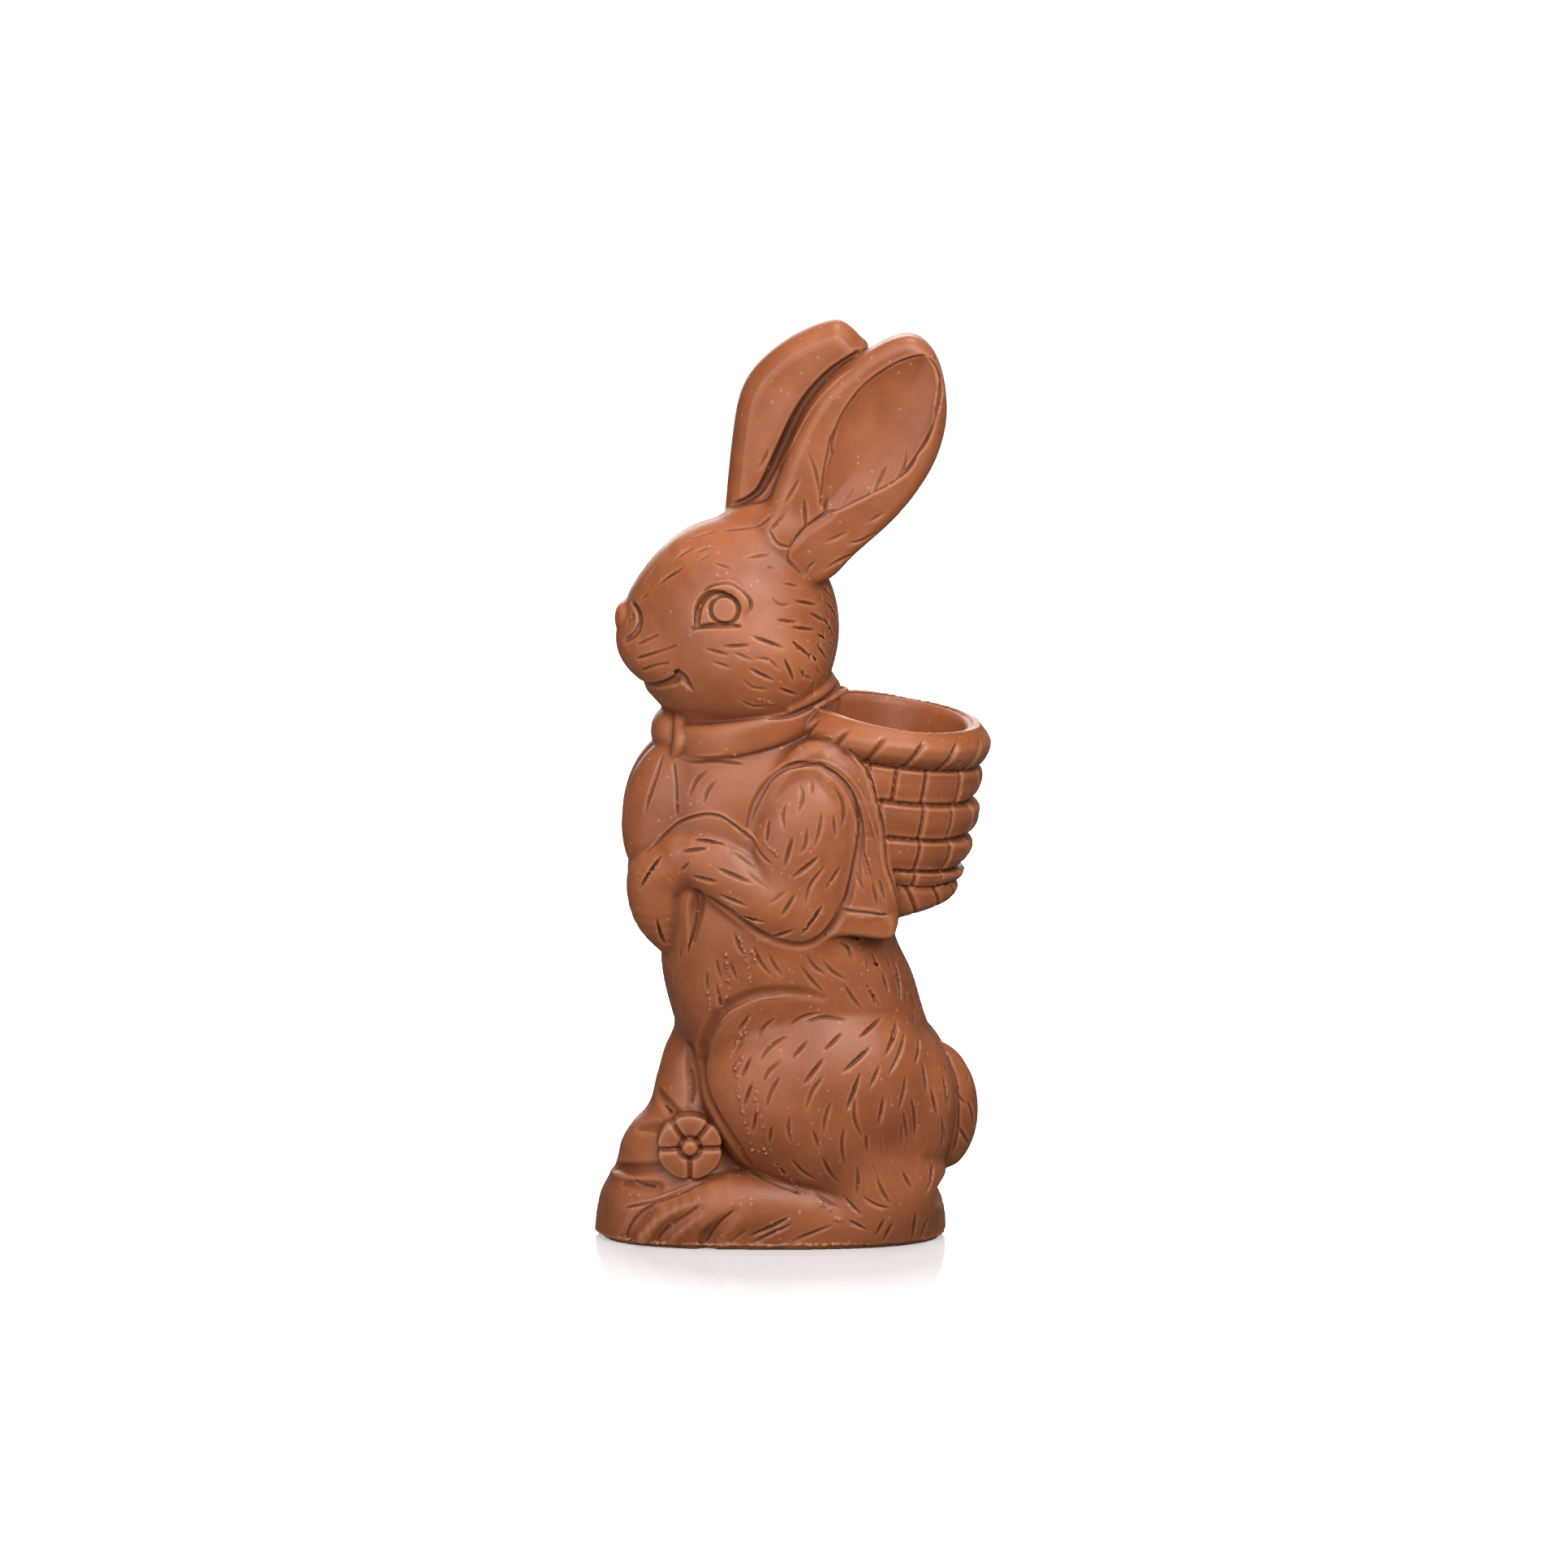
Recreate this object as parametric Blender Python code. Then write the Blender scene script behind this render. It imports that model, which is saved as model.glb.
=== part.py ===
"""Moulded chocolate bunny that stands and carries a basket on its back.

The figure faces -X and stands on z = 0, with the mould's parting plane at y = 0.
Its forms are added to one field of distances, as clay is added to a figure,
and the field's zero surface becomes one closed mesh. Forms are given in
millimetres as (x, s, z), where s is the distance from the parting plane.
"""

import math

import bpy
import numpy as np
import openvdb

# Driving dimensions of the figure, in metres
HEIGHT = 0.179
BASE_LENGTH = 0.0668
BASE_FRONT_X = -0.0379
BASE_DEPTH = 0.029
HEAD_LENGTH = 0.039
HEAD_HEIGHT = 0.0436
HEAD_WIDTH = 0.031
EAR_THICKNESS = 0.0088
BASKET_RIM_LENGTH = 0.0392
BASKET_RIM_DEPTH = 0.0392
BASKET_WALL_DEPTH = 0.0354
BASKET_LEAN = 8.5
BASKET_MOUTH_LENGTH = 0.0276
BASKET_MOUTH_DEPTH = 0.0318
BASKET_CUP_DEPTH = 0.0140
BASKET_RIM_Z = 0.1032
BASKET_CENTRE_X = 0.0187
BASKET_BOTTOM_Z = 0.0648
FLOWER_DIAMETER = 0.0125

# Resolution of the field and of the finished solid
STEP = 0.5
TRIANGLES = 11600

MM = 1000.0
OUTSIDE = 6.0
GRID_LOW = (-42.0, -23.0, -2.0)
GRID_HIGH = (42.0, 23.0, 182.0)

CHOCOLATE = (0.27, 0.105, 0.045, 1.0)


def curve_at(keys, values, at):
    """Smooth curve through values at keys, read at the given places."""
    keys = np.asarray(keys, np.float32)
    values = np.asarray(values, np.float32)
    slopes = np.gradient(values, keys, axis=0)
    at = np.clip(at, keys[0], keys[-1])
    i = np.clip(np.searchsorted(keys, at, side="right") - 1, 0, len(keys) - 2)
    gap = keys[i + 1] - keys[i]
    t = (at - keys[i]) / gap
    if values.ndim > 1:
        t = t[..., None]
        gap = gap[..., None]
    rise = 3 * t**2 - 2 * t**3
    start = (t**3 - 2 * t**2 + t) * slopes[i] * gap
    end = (t**3 - t**2) * slopes[i + 1] * gap
    return values[i] * (1 - rise) + values[i + 1] * rise + start + end


def smooth_path(points, steps, closed=False):
    """Points along a smooth curve through the given ones."""
    points = np.asarray(points, np.float32)
    if closed:
        count = len(points)
        points = np.concatenate([points[-2:], points, points[:3]])
        at = 2 + np.arange(count * steps, dtype=np.float32) / steps
    else:
        at = np.arange((len(points) - 1) * steps + 1, dtype=np.float32) / steps
    return curve_at(np.arange(len(points)), points, at)


def ellipsoid(centre, radii, lean=0.0):
    """An ellipsoid whose top leans towards +X by lean degrees."""
    centre = np.array(centre, np.float32)
    radii = np.array(radii, np.float32)
    turn = math.radians(lean)
    ca = math.cos(turn)
    sa = math.sin(turn)

    def distance(x, s, z):
        dx = x - centre[0]
        dz = z - centre[2]
        u = (dx * ca - dz * sa) / radii[0]
        v = (s - centre[1]) / radii[1]
        w = (dx * sa + dz * ca) / radii[2]
        near = np.sqrt(u * u + v * v + w * w)
        slope = np.sqrt((u / radii[0]) ** 2 + (v / radii[1]) ** 2 + (w / radii[2]) ** 2)
        return near * (near - 1) / (slope + 1e-6)

    reach_x = math.hypot(radii[0] * ca, radii[2] * sa)
    reach_z = math.hypot(radii[0] * sa, radii[2] * ca)
    reach = np.array([reach_x, radii[1], reach_z])
    return distance, centre - reach, centre + reach


def tube(points, radii, flat=1.0, steps=4):
    """A rounded tube through points; flat is its s radius over its x-z radius."""
    path = smooth_path(points, steps)
    thick = smooth_path(np.asarray(radii)[:, None], steps)[:, 0]

    def distance(x, s, z):
        best = None
        for a, b, ra, rb in zip(path[:-1], path[1:], thick[:-1], thick[1:]):
            run = (b - a) / (1.0, flat, 1.0)
            dx = x - a[0]
            ds = (s - a[1]) / flat
            dz = z - a[2]
            along = (dx * run[0] + ds * run[1] + dz * run[2]) / (run @ run + 1e-9)
            t = np.clip(along, 0, 1)
            away = (dx - t * run[0]) ** 2 + (ds - t * run[1]) ** 2 + (dz - t * run[2]) ** 2
            d = np.sqrt(away) - ra - (rb - ra) * t
            best = d if best is None else np.minimum(best, d)
        return best * flat

    grow = thick.max() * np.array([1.0, flat, 1.0])
    return distance, path.min(0) - grow, path.max(0) + grow


def outline_distance(outline, x, z):
    """Distance in the x-z plane to a closed outline, negative inside it."""
    best = np.full(np.broadcast(x, z).shape, 1e9, np.float32)
    inside = np.zeros(best.shape, bool)
    for (ax, az), (bx, bz) in zip(outline, np.roll(outline, -1, axis=0)):
        run_x = bx - ax
        run_z = bz - az
        along = ((x - ax) * run_x + (z - az) * run_z) / (run_x**2 + run_z**2 + 1e-9)
        t = np.clip(along, 0, 1)
        best = np.minimum(best, (x - ax - t * run_x) ** 2 + (z - az - t * run_z) ** 2)
        if run_z != 0:
            crosses = (az <= z) != (bz <= z)
            inside ^= crosses & (x < ax + (z - az) / run_z * run_x)
    best = np.sqrt(best)
    return np.where(inside, -best, best)


def slab(outline, middle, half, edge):
    """A flat form with that outline, centred on s = middle, with rounded edges."""
    outline = smooth_path(outline, 4, closed=True)

    def distance(x, s, z):
        across = outline_distance(outline, x, z) + edge
        through = np.abs(s - middle) - (half - edge)
        corner = np.sqrt(np.maximum(across, 0) ** 2 + np.maximum(through, 0) ** 2)
        return corner + np.minimum(np.maximum(across, through), 0) - edge

    low = np.array([outline[:, 0].min(), middle - half, outline[:, 1].min()])
    high = np.array([outline[:, 0].max(), middle + half, outline[:, 1].max()])
    return distance, low, high


def dish(outline, top, deep, slope):
    """What a hollow with that outline takes out of a face at s = top."""
    outline = smooth_path(outline, 4, closed=True)

    def distance(x, s, z):
        across = outline_distance(outline, x, z)
        depth = 0.35 + (deep - 0.35) * (1 - np.exp(np.minimum(across, 0) * slope))
        return np.maximum(across, top - depth - s)

    low = np.array([outline[:, 0].min(), top - deep, outline[:, 1].min()])
    high = np.array([outline[:, 0].max(), top + 1.0, outline[:, 1].max()])
    return distance, low, high


def stack(levels, power=2.0):
    """Oval sections stacked in z; rows hold z, front x, back x and half width."""
    rows = np.asarray(levels, np.float32)

    def distance(x, s, z):
        level = curve_at(rows[:, 0], rows[:, 1:], z)
        front = level[..., 0]
        back = level[..., 1]
        wide = level[..., 2]
        half = (back - front) / 2
        u = np.abs(x - (front + back) / 2) / half
        v = np.abs(s) / wide
        side = ((u**power + v**power) ** (1 / power) - 1) * np.minimum(half, wide)
        return np.maximum(side, np.maximum(rows[0, 0] - z, z - rows[-1, 0]))

    low = np.array([rows[:, 1].min(), 0.0, rows[0, 0]])
    high = np.array([rows[:, 2].max(), rows[:, 3].max(), rows[-1, 0]])
    return distance, low, high


class Clay:
    """A field of distances on a grid, negative inside the chocolate."""

    def __init__(self, low, high, step):
        self.step = step
        self.low = np.asarray(low, np.float32)
        self.axes = [np.arange(a, b + step, step, dtype=np.float32) for a, b in zip(low, high)]
        self.field = np.full([len(a) for a in self.axes], OUTSIDE, np.float32)

    def window(self, form, blend, side):
        """The part of the grid that a form reaches, and the form's distances there."""
        distance, low, high = form
        reach = blend + 3 * self.step + 1.0
        y_low, y_high = {
            "both": (-high[1], high[1]),
            "near": (-high[1], -low[1]),
            "far": (low[1], high[1]),
        }[side]
        spans = ((low[0], high[0]), (y_low, y_high), (low[2], high[2]))
        cuts = tuple(
            slice(*np.searchsorted(axis, (a - reach, b + reach)))
            for axis, (a, b) in zip(self.axes, spans)
        )
        x, y, z = (axis[cut] for axis, cut in zip(self.axes, cuts))
        s = {"both": np.abs(y), "near": -y, "far": y}[side]
        away = distance(x[:, None, None], s[None, :, None], z[None, None, :])
        return cuts, away.astype(np.float32)

    def add(self, form, blend=0.0, side="both"):
        """Join a form on, with a fillet of about the blend's size."""
        cuts, away = self.window(form, blend, side)
        here = self.field[cuts]
        fillet = np.maximum(blend - np.abs(here - away), 0) ** 2 / (4 * max(blend, 1e-3))
        self.field[cuts] = np.minimum(here, away) - fillet

    def cut(self, form, blend=0.0, side="both"):
        """Take a form away, with an edge rounded by about the blend's size."""
        cuts, away = self.window(form, blend, side)
        here = self.field[cuts]
        round_off = np.maximum(blend - np.abs(here + away), 0) ** 2 / (4 * max(blend, 1e-3))
        self.field[cuts] = np.maximum(here, -away) + round_off

    def skin(self, x, z, side="near"):
        """The s of the outer surface at x and z, on the near or the far side."""
        i = (x - self.low[0]) / self.step
        k = (z - self.low[2]) / self.step
        total = 0.0
        for di in (0, 1):
            for dk in (0, 1):
                column = self.field[int(i) + di, :, int(k) + dk]
                if side == "far":
                    column = column[::-1]
                j = int(np.argmax(column < 0))
                if column[j] < 0:
                    edge = self.axes[1][j - 1] if side == "near" else -self.axes[1][len(column) - j]
                    here = -(edge + self.step * column[j - 1] / (column[j - 1] - column[j]))
                else:
                    here = 0.0
                total += here * abs(1 - di - i % 1) * abs(1 - dk - k % 1)
        return total

    def surface(self):
        """The zero surface as points in millimetres and quads facing out."""
        grid = openvdb.FloatGrid(OUTSIDE)
        grid.copyFromArray(np.clip(self.field, -OUTSIDE, OUTSIDE), tolerance=0.0)
        points, quads = grid.convertToQuads(isovalue=0.0)
        return points * self.step + self.low, quads


def on_skin(clay, line, lift=0.0):
    """Points of an x-z line laid on the near side's surface."""
    return [(x, clay.skin(x, z) + lift, z) for x, z in line]


def torso_form():
    """Torso from the seat to the neck."""
    return stack([
        (2, -14.0, 27.0, 11.0),
        (20, -16.0, 27.5, 12.0),
        (34, -20.0, 27.6, 13.6),
        (44, -23.5, 25.0, 15.5),
        (52, -25.4, 22.6, 15.3),
        (60, -26.0, 19.2, 15.4),
        (70, -28.0, 19.5, 15.8),
        (80, -29.5, 17.5, 16.0),
        (88, -29.0, 15.0, 15.5),
        (96, -26.5, 11.0, 13.0),
        (104, -22.5, 7.5, 11.0),
        (112, -19.0, 5.0, 9.0),
    ], power=2.3)


def add_ground(clay):
    """The slab that the figure stands on, and the tuft that rises in front."""
    front = BASE_FRONT_X * MM
    back = front + BASE_LENGTH * MM
    half = BASE_DEPTH * MM / 2
    tuft = stack([
        (0, front, -6, 12.0),
        (5, front + 0.4, -5, 12.4),
        (9, front + 1.3, -5, 12.2),
        (12, front + 2.6, -6, 11.6),
        (15, front + 3.6, -7, 11.2),
        (19, front + 4.6, -9, 10.4),
        (22, front + 6.4, -10, 9.6),
        (25, front + 9.1, -12, 8.4),
        (32, front + 11.4, -12, 6.8),
        (38, front + 13.2, -13, 5.6),
        (45, front + 17.2, -14, 4.0),
    ])
    clay.add(tuft, 1.5)
    base = stack([
        (0, front + 0.2, back, half - 0.4),
        (3, front + 0.4, back, half),
        (6, front + 0.9, back - 0.8, half),
        (9, front + 1.8, back - 2.2, half - 1.4),
        (12, front + 4.0, back - 4.5, half - 3.4),
    ], power=2.6)
    clay.add(base, 2.0)


def add_hind_leg(clay):
    """Haunch, heel, long foot and round tail."""
    haunch = ellipsoid((5.0, 6.2, 30.6), (23.2, 13.6, 21.4), lean=10)
    clay.add(haunch, 0.8)
    edge = [
        (-8.9, 16.6), (-11.6, 21.0), (-14.9, 26.0), (-17.3, 31.0), (-18.0, 36.0), (-17.3, 41.0),
        (-15.0, 45.8), (-11.4, 49.2), (-6.5, 51.2), (0.0, 51.6), (5.5, 50.6),
    ]
    wide = [0.6, 1.0, 1.1, 1.1, 1.1, 1.1, 1.1, 1.1, 1.0, 0.8, 0.4]
    clay.cut(tube(on_skin(clay, edge, 0.45), wide, steps=2), 0.6)
    leaf = on_skin(clay, [(-20.9, 41.0), (-19.0, 36.6), (-17.4, 31.4), (-16.6, 26.2)], -0.5)
    clay.add(tube(leaf, [0.6, 1.2, 1.3, 0.8], steps=3), 0.5)
    heel = ellipsoid((17.0, 7.0, 12.0), (11.5, 9.0, 10.0), lean=-25)
    clay.add(heel, 5.0)
    tail = ellipsoid((26.8, 0.0, 25.3), (8.7, 8.6, 13.2), lean=-3)
    clay.add(tail, 0.8)
    foot = tube(
        [(-28.5, 8.8, 2.6), (-21.0, 9.8, 5.6), (-12.0, 10.2, 7.8), (2.0, 9.6, 6.8), (16.0, 8.0, 4.6)],
        [4.4, 5.8, 6.8, 6.6, 5.2],
        flat=0.85,
    )
    clay.add(foot, 1.0)
    clay.cut(ellipsoid((31.4, 0.0, 9.4), (4.4, 20.0, 3.6)), 0.8)
    for toe_line in (
        [(-28.0, 7.6), (-29.9, 6.0), (-31.9, 3.5), (-32.6, 1.0)],
        [(-18.5, 8.6), (-22.1, 6.4), (-25.2, 3.4), (-26.8, 0.6)],
        [(-11.6, 8.0), (-14.2, 5.4), (-16.3, 2.7), (-17.2, 0.4)],
    ):
        clay.cut(tube(on_skin(clay, toe_line, 0.6), [0.6, 1.2, 1.4, 1.3]), 0.8)
        clay.cut(tube(on_skin(clay, toe_line), [0.2, 0.45, 0.5, 0.4]), 0.15)


def add_vest(clay):
    """Front panel, shoulder, back panel and hem of the vest."""
    panel = ellipsoid((-23.4, 4.0, 84.4), (9.7, 7.6, 15.2), lean=10)
    clay.add(panel, 1.6)
    hem = [(2.0, 63.8), (2.0, 68.8), (11.0, 67.9), (18.5, 67.0), (18.7, 62.2), (11.0, 62.6)]
    clay.add(slab(hem, 0.0, 17.4, 1.3), 0.3)
    back_panel = [
        (0.0, 97.0), (6.0, 98.6), (12.4, 96.6), (15.0, 88.4), (16.6, 79.0),
        (18.8, 70.6), (19.0, 63.6), (8.0, 63.8), (-2.0, 67.0), (-6.0, 86.0),
    ]
    clay.add(slab(back_panel, 0.0, 16.9, 2.4), 1.0)
    shoulder = ellipsoid((3.6, 5.6, 86.0), (13.8, 10.6, 14.6), lean=-8)
    clay.add(shoulder, 2.5)


def add_strap(clay):
    """The rounded edge of the vest where the basket hangs on it."""
    strap = tube(
        [(6.0, 12.6, 100.4), (10.2, 15.0, 97.4), (13.2, 16.2, 92.6), (14.8, 16.6, 86.0),
         (16.2, 16.4, 79.0), (17.8, 15.8, 71.6), (18.3, 14.8, 67.2)],
        [1.3, 1.6, 1.8, 1.8, 1.8, 1.6, 1.1],
    )
    clay.add(strap, 1.2)


def add_arm(clay):
    """Upper arm, forearm and the paw that hangs on the belly."""
    upper = ellipsoid((1.9, 12.6, 78.4), (11.4, 7.2, 18.6), lean=7)
    clay.add(upper, 0.3)
    armhole = [
        (-9.4, 82.0), (-7.8, 88.6), (-3.6, 94.4), (2.0, 96.4), (7.4, 94.4), (11.2, 89.6), (12.8, 82.4),
        (12.4, 74.0),
    ]
    clay.cut(tube(on_skin(clay, armhole, 0.1), [0.3, 0.6, 0.8, 0.8, 0.8, 0.8, 0.7, 0.4]), 0.5)
    elbow = tube([(2.0, 13.4, 66.8), (-2.4, 13.6, 67.8)], [7.2, 7.1], flat=0.82)
    clay.add(elbow, 3.0)
    forearm = tube(
        [(-1.6, 13.6, 67.6), (-7.0, 13.4, 69.8), (-14.6, 12.0, 75.8), (-19.8, 9.8, 77.4)],
        [7.1, 7.3, 7.1, 6.7],
        flat=0.82,
    )
    clay.add(forearm, 0.5)
    paw = tube(
        [(-20.8, 9.4, 76.8), (-25.2, 7.0, 72.8), (-25.2, 5.6, 66.4), (-23.4, 4.8, 60.6),
         (-22.0, 4.4, 57.6)],
        [6.4, 6.8, 6.4, 4.2, 2.2],
        flat=0.92,
    )
    clay.add(paw, 0.6)
    fold = on_skin(clay, [(-18.5, 70.2), (-19.0, 67.4), (-19.4, 64.6), (-19.8, 61.4)], 0.3)
    clay.cut(tube(fold, [0.9, 1.2, 0.9, 0.5]), 0.6)


def add_head(clay):
    """Skull, muzzle, chin, cheeks, nose and mouth."""
    centre = (-11.0, 0.0, 119.8)
    skull = ellipsoid(centre, (HEAD_LENGTH / 2 * MM, HEAD_WIDTH / 2 * MM, HEAD_HEIGHT / 2 * MM))
    clay.add(skull, 1.5)
    brow = tube([(-17.0, 0, 126.9), (-23.6, 0, 123.0), (-27.8, 0, 118.4)], [11.2, 8.8, 6.2])
    clay.add(brow, 3.0)
    clay.add(ellipsoid((-24.3, 2.8, 116.4), (9.2, 7.0, 7.6), lean=10), 3.0)
    chin = tube([(-25.4, 0, 109.2), (-20.3, 0, 106.8)], [3.4, 5.5], flat=1.3)
    clay.add(chin, 1.0)
    clay.add(ellipsoid((-7.2, 5.8, 114.0), (12.8, 10.8, 11.6), lean=8), 4.0)
    clay.add(ellipsoid((-31.8, 0.8, 121.2), (2.7, 3.6, 3.9), lean=-10), 0.3)
    crease = [(-31.2, 125.6), (-30.0, 124.4), (-29.6, 122.8), (-29.9, 120.8), (-31.0, 119.3), (-32.5, 118.2)]
    clay.cut(tube(on_skin(clay, crease), [0.3, 0.5, 0.6, 0.6, 0.5, 0.3], steps=2), 0.3)
    lips = on_skin(clay, [(-27.8, 109.4), (-25.0, 110.4), (-22.6, 111.8), (-22.2, 113.2)])
    clay.cut(tube([(-31.0, 0.0, 109.8)] + lips, [0.8, 0.7, 0.7, 0.9, 0.5]), 0.4)
    cheek = on_skin(clay, [(-22.5, 113.0), (-21.3, 112.0), (-19.7, 110.0)])
    clay.cut(tube(cheek, [0.6, 1.0, 0.3]), 0.4)


def add_eye(clay):
    """Round iris in a ring groove, under a raised lid."""
    centre_x = -13.4
    centre_z = 125.9
    iris_radius = 2.7
    lid_radius = 4.0

    def arc(radius, degrees):
        turns = np.radians(degrees)
        return [(centre_x + radius * math.cos(a), centre_z + radius * math.sin(a)) for a in turns]

    lid = on_skin(clay, arc(lid_radius, (-15, 20, 60, 95, 130, 150)), -0.9)
    clay.add(tube(lid, [0.9, 1.5, 1.6, 1.6, 1.3, 0.9]), 0.3)
    corner_x = centre_x - 5.3
    corner_z = centre_z - 3.3
    white = [
        (corner_x, corner_z), (corner_x + 0.3, corner_z + 3.4), (corner_x + 1.6, corner_z + 5.6),
        (corner_x + 3.6, corner_z + 6.3), (centre_x, centre_z + iris_radius + 0.3),
    ]
    clay.cut(tube(on_skin(clay, white), [0.5, 0.8, 0.8, 0.7, 0.5]), 0.2)
    under = [
        (corner_x - 0.9, corner_z - 0.5), (centre_x - 2.0, corner_z + 0.3), (centre_x + 3.0, corner_z + 0.2),
    ]
    clay.cut(tube(on_skin(clay, under), [0.3, 0.6, 0.3]), 0.2)
    ring = on_skin(clay, arc(iris_radius, np.linspace(0, 360, 13)))
    clay.cut(tube(ring, [0.6] * len(ring), steps=2), 0.2)


def add_ears(clay):
    """Two upright ears, set one behind the other and touching at the tips."""
    half = EAR_THICKNESS / 2 * MM
    near_ear = [
        (14.4, 174.6), (19.4, 177.0), (23.2, 177.1), (26.7, 173.8), (28.7, 167.5), (28.8, 160.0),
        (26.1, 151.7), (20.0, 143.0), (11.6, 135.2), (6.4, 130.2), (-0.5, 128.8), (-4.4, 134.0),
        (-6.0, 140.6), (-4.6, 145.2), (-2.9, 149.9), (0.3, 158.2), (4.5, 165.7), (10.3, 171.3),
    ]
    clay.add(slab(near_ear, half - 0.1, half, 2.4), 1.6, side="near")
    flare = [(-1.5, 5.0, 139.6), (-5.6, 3.4, 141.4), (-9.6, 1.4, 141.4), (-12.6, -0.6, 140.4)]
    clay.add(tube(flare, [4.0, 2.8, 1.8, 1.2]), 2.2, side="near")
    clay.add(ellipsoid((-4.5, 2.2, 136.0), (8.5, 6.2, 5.6), lean=20), 4.0, side="near")
    far_ear = [
        (14.0, 172.6), (12.2, 176.0), (9.8, 178.2), (7.3, 178.8), (2.2, 177.1), (-3.0, 174.1),
        (-7.1, 170.4), (-9.7, 166.5), (-11.1, 162.0), (-12.2, 154.0), (-13.0, 146.0), (-13.4, 139.0),
        (-12.0, 134.0), (-4.0, 134.0), (3.0, 150.0), (8.0, 162.0),
    ]
    clay.add(slab(far_ear, half - 0.2, half, 3.4), 3.0, side="far")
    hollow = [
        (24.9, 174.0), (27.2, 171.6), (27.9, 167.4), (26.4, 161.1), (23.4, 154.8), (19.4, 150.2),
        (14.7, 147.6), (8.5, 144.6), (5.4, 144.4), (5.4, 149.0), (7.0, 155.4), (8.3, 160.6),
        (11.2, 165.8), (16.3, 170.7), (20.6, 173.2),
    ]
    clay.cut(dish(hollow, 2 * half - 0.1, 1.9, 0.4), 0.2, side="near")
    groove = [(6.4, 9.1, 143.4), (2.4, 9.4, 140.4), (-0.8, 10.2, 136.8)]
    clay.cut(tube(groove, [0.8, 0.8, 0.6]), 0.8, side="near")


def add_scarf(clay):
    """A folded scarf round the neck, higher at the back, knotted in front."""
    centre = (-8.5, 0.0, 102.6)
    half_length = 15.1
    half_width = 12.2
    thick = 2.2
    tall = 3.5
    square = 3.2
    rise = math.tan(math.radians(13.0))
    sag = 1.6

    def band(x, s, z):
        u = (x - centre[0]) / half_length
        v = s / half_width
        around = np.sqrt(u * u + v * v) + 1e-6
        away = (around - 1) * np.hypot(half_length * u, half_width * v) / around
        up = z - (centre[2] + (x - centre[0]) * rise - sag * np.abs(v / around))
        return ((np.abs(away / thick) ** square + np.abs(up / tall) ** square) ** (1 / square) - 1) * thick

    clay.add((band, np.array([-29.5, 0, 92.0]), np.array([13.0, 17.0, 113.0])), 0.4)
    fold = tube(
        [(-1.0, 11.8, 106.4), (3.0, 9.2, 108.2), (5.4, 5.4, 109.2), (6.0, 0.0, 109.4)],
        [1.2, 1.8, 1.9, 1.9],
    )
    clay.add(fold, 0.3)
    gap = on_skin(clay, [(-5.0, 104.6), (-1.0, 104.9), (3.0, 106.2), (6.4, 107.8), (9.4, 109.4)])
    clay.cut(tube(gap, [0.2, 0.5, 0.6, 0.6, 0.5]), 0.2)
    clay.add(ellipsoid((-23.4, 0.0, 99.2), (4.2, 7.2, 5.4), lean=-6), 0.6)
    knot = on_skin(clay, [(-21.7, 102.8), (-21.6, 99.6), (-22.4, 96.6)], -0.9)
    clay.add(tube(knot, [1.5, 1.7, 1.4]), 0.25)


def basket_place(x, z):
    """Place along the basket's length and height below its rim."""
    lean = math.radians(BASKET_LEAN)
    dx = x - BASKET_CENTRE_X * MM
    dz = z - BASKET_RIM_Z * MM
    return dx * math.cos(lean) - dz * math.sin(lean), -(dx * math.sin(lean) + dz * math.cos(lean))


def basket_relief(angle, deep):
    """Depth of the rim's braid and of the woven rows below it, as added radius."""
    stakes = 16
    row_edges = (7.3, 14.2, 21.2, 27.6, 30.6)
    row_turns = (0.15, 0.15, 0.2, 0.3)
    turn = angle * stakes / (2 * math.pi)
    to_length = 2 * 19.0 / stakes
    relief = np.zeros(np.broadcast(angle, deep).shape, np.float32)
    for row, (top, bottom) in enumerate(zip(row_edges[:-1], row_edges[1:])):
        here = (deep > top) & (deep <= bottom)
        down = (deep - top) / (bottom - top)
        bulge = curve_at((0.0, 0.08, 0.2, 0.75, 0.93, 1.0), (-0.8, 0.3, 0.45, 0.2, -0.15, -0.9), down)
        along = turn - row_turns[row]
        beside = np.abs(np.sin(math.pi * along)) * to_length
        slot = 0.75 * np.exp(-((beside / 0.42) ** 2))
        over = 0.15 * (-1.0) ** (np.floor(along) + row)
        relief = np.where(here, bulge + over - slot, relief)
    for top, bottom, slant in ((-2.0, row_edges[0], 0.22), (row_edges[-1], 42.0, -0.3)):
        here = (deep > top) & (deep <= bottom)
        beside = np.abs(np.sin(math.pi * (turn - 0.1 + slant * (deep - top) / 3.0))) * to_length
        across = np.clip(np.minimum(deep - top, bottom - deep) / 1.2, 0, 1)
        braid = 0.5 * across - 0.35 - 0.6 * np.exp(-((beside / 0.5) ** 2))
        relief = np.where(here, braid * np.clip((deep - 0.6) / 1.2, 0, 1), relief)
    return np.clip(relief, -1.2, 0.6)


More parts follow.
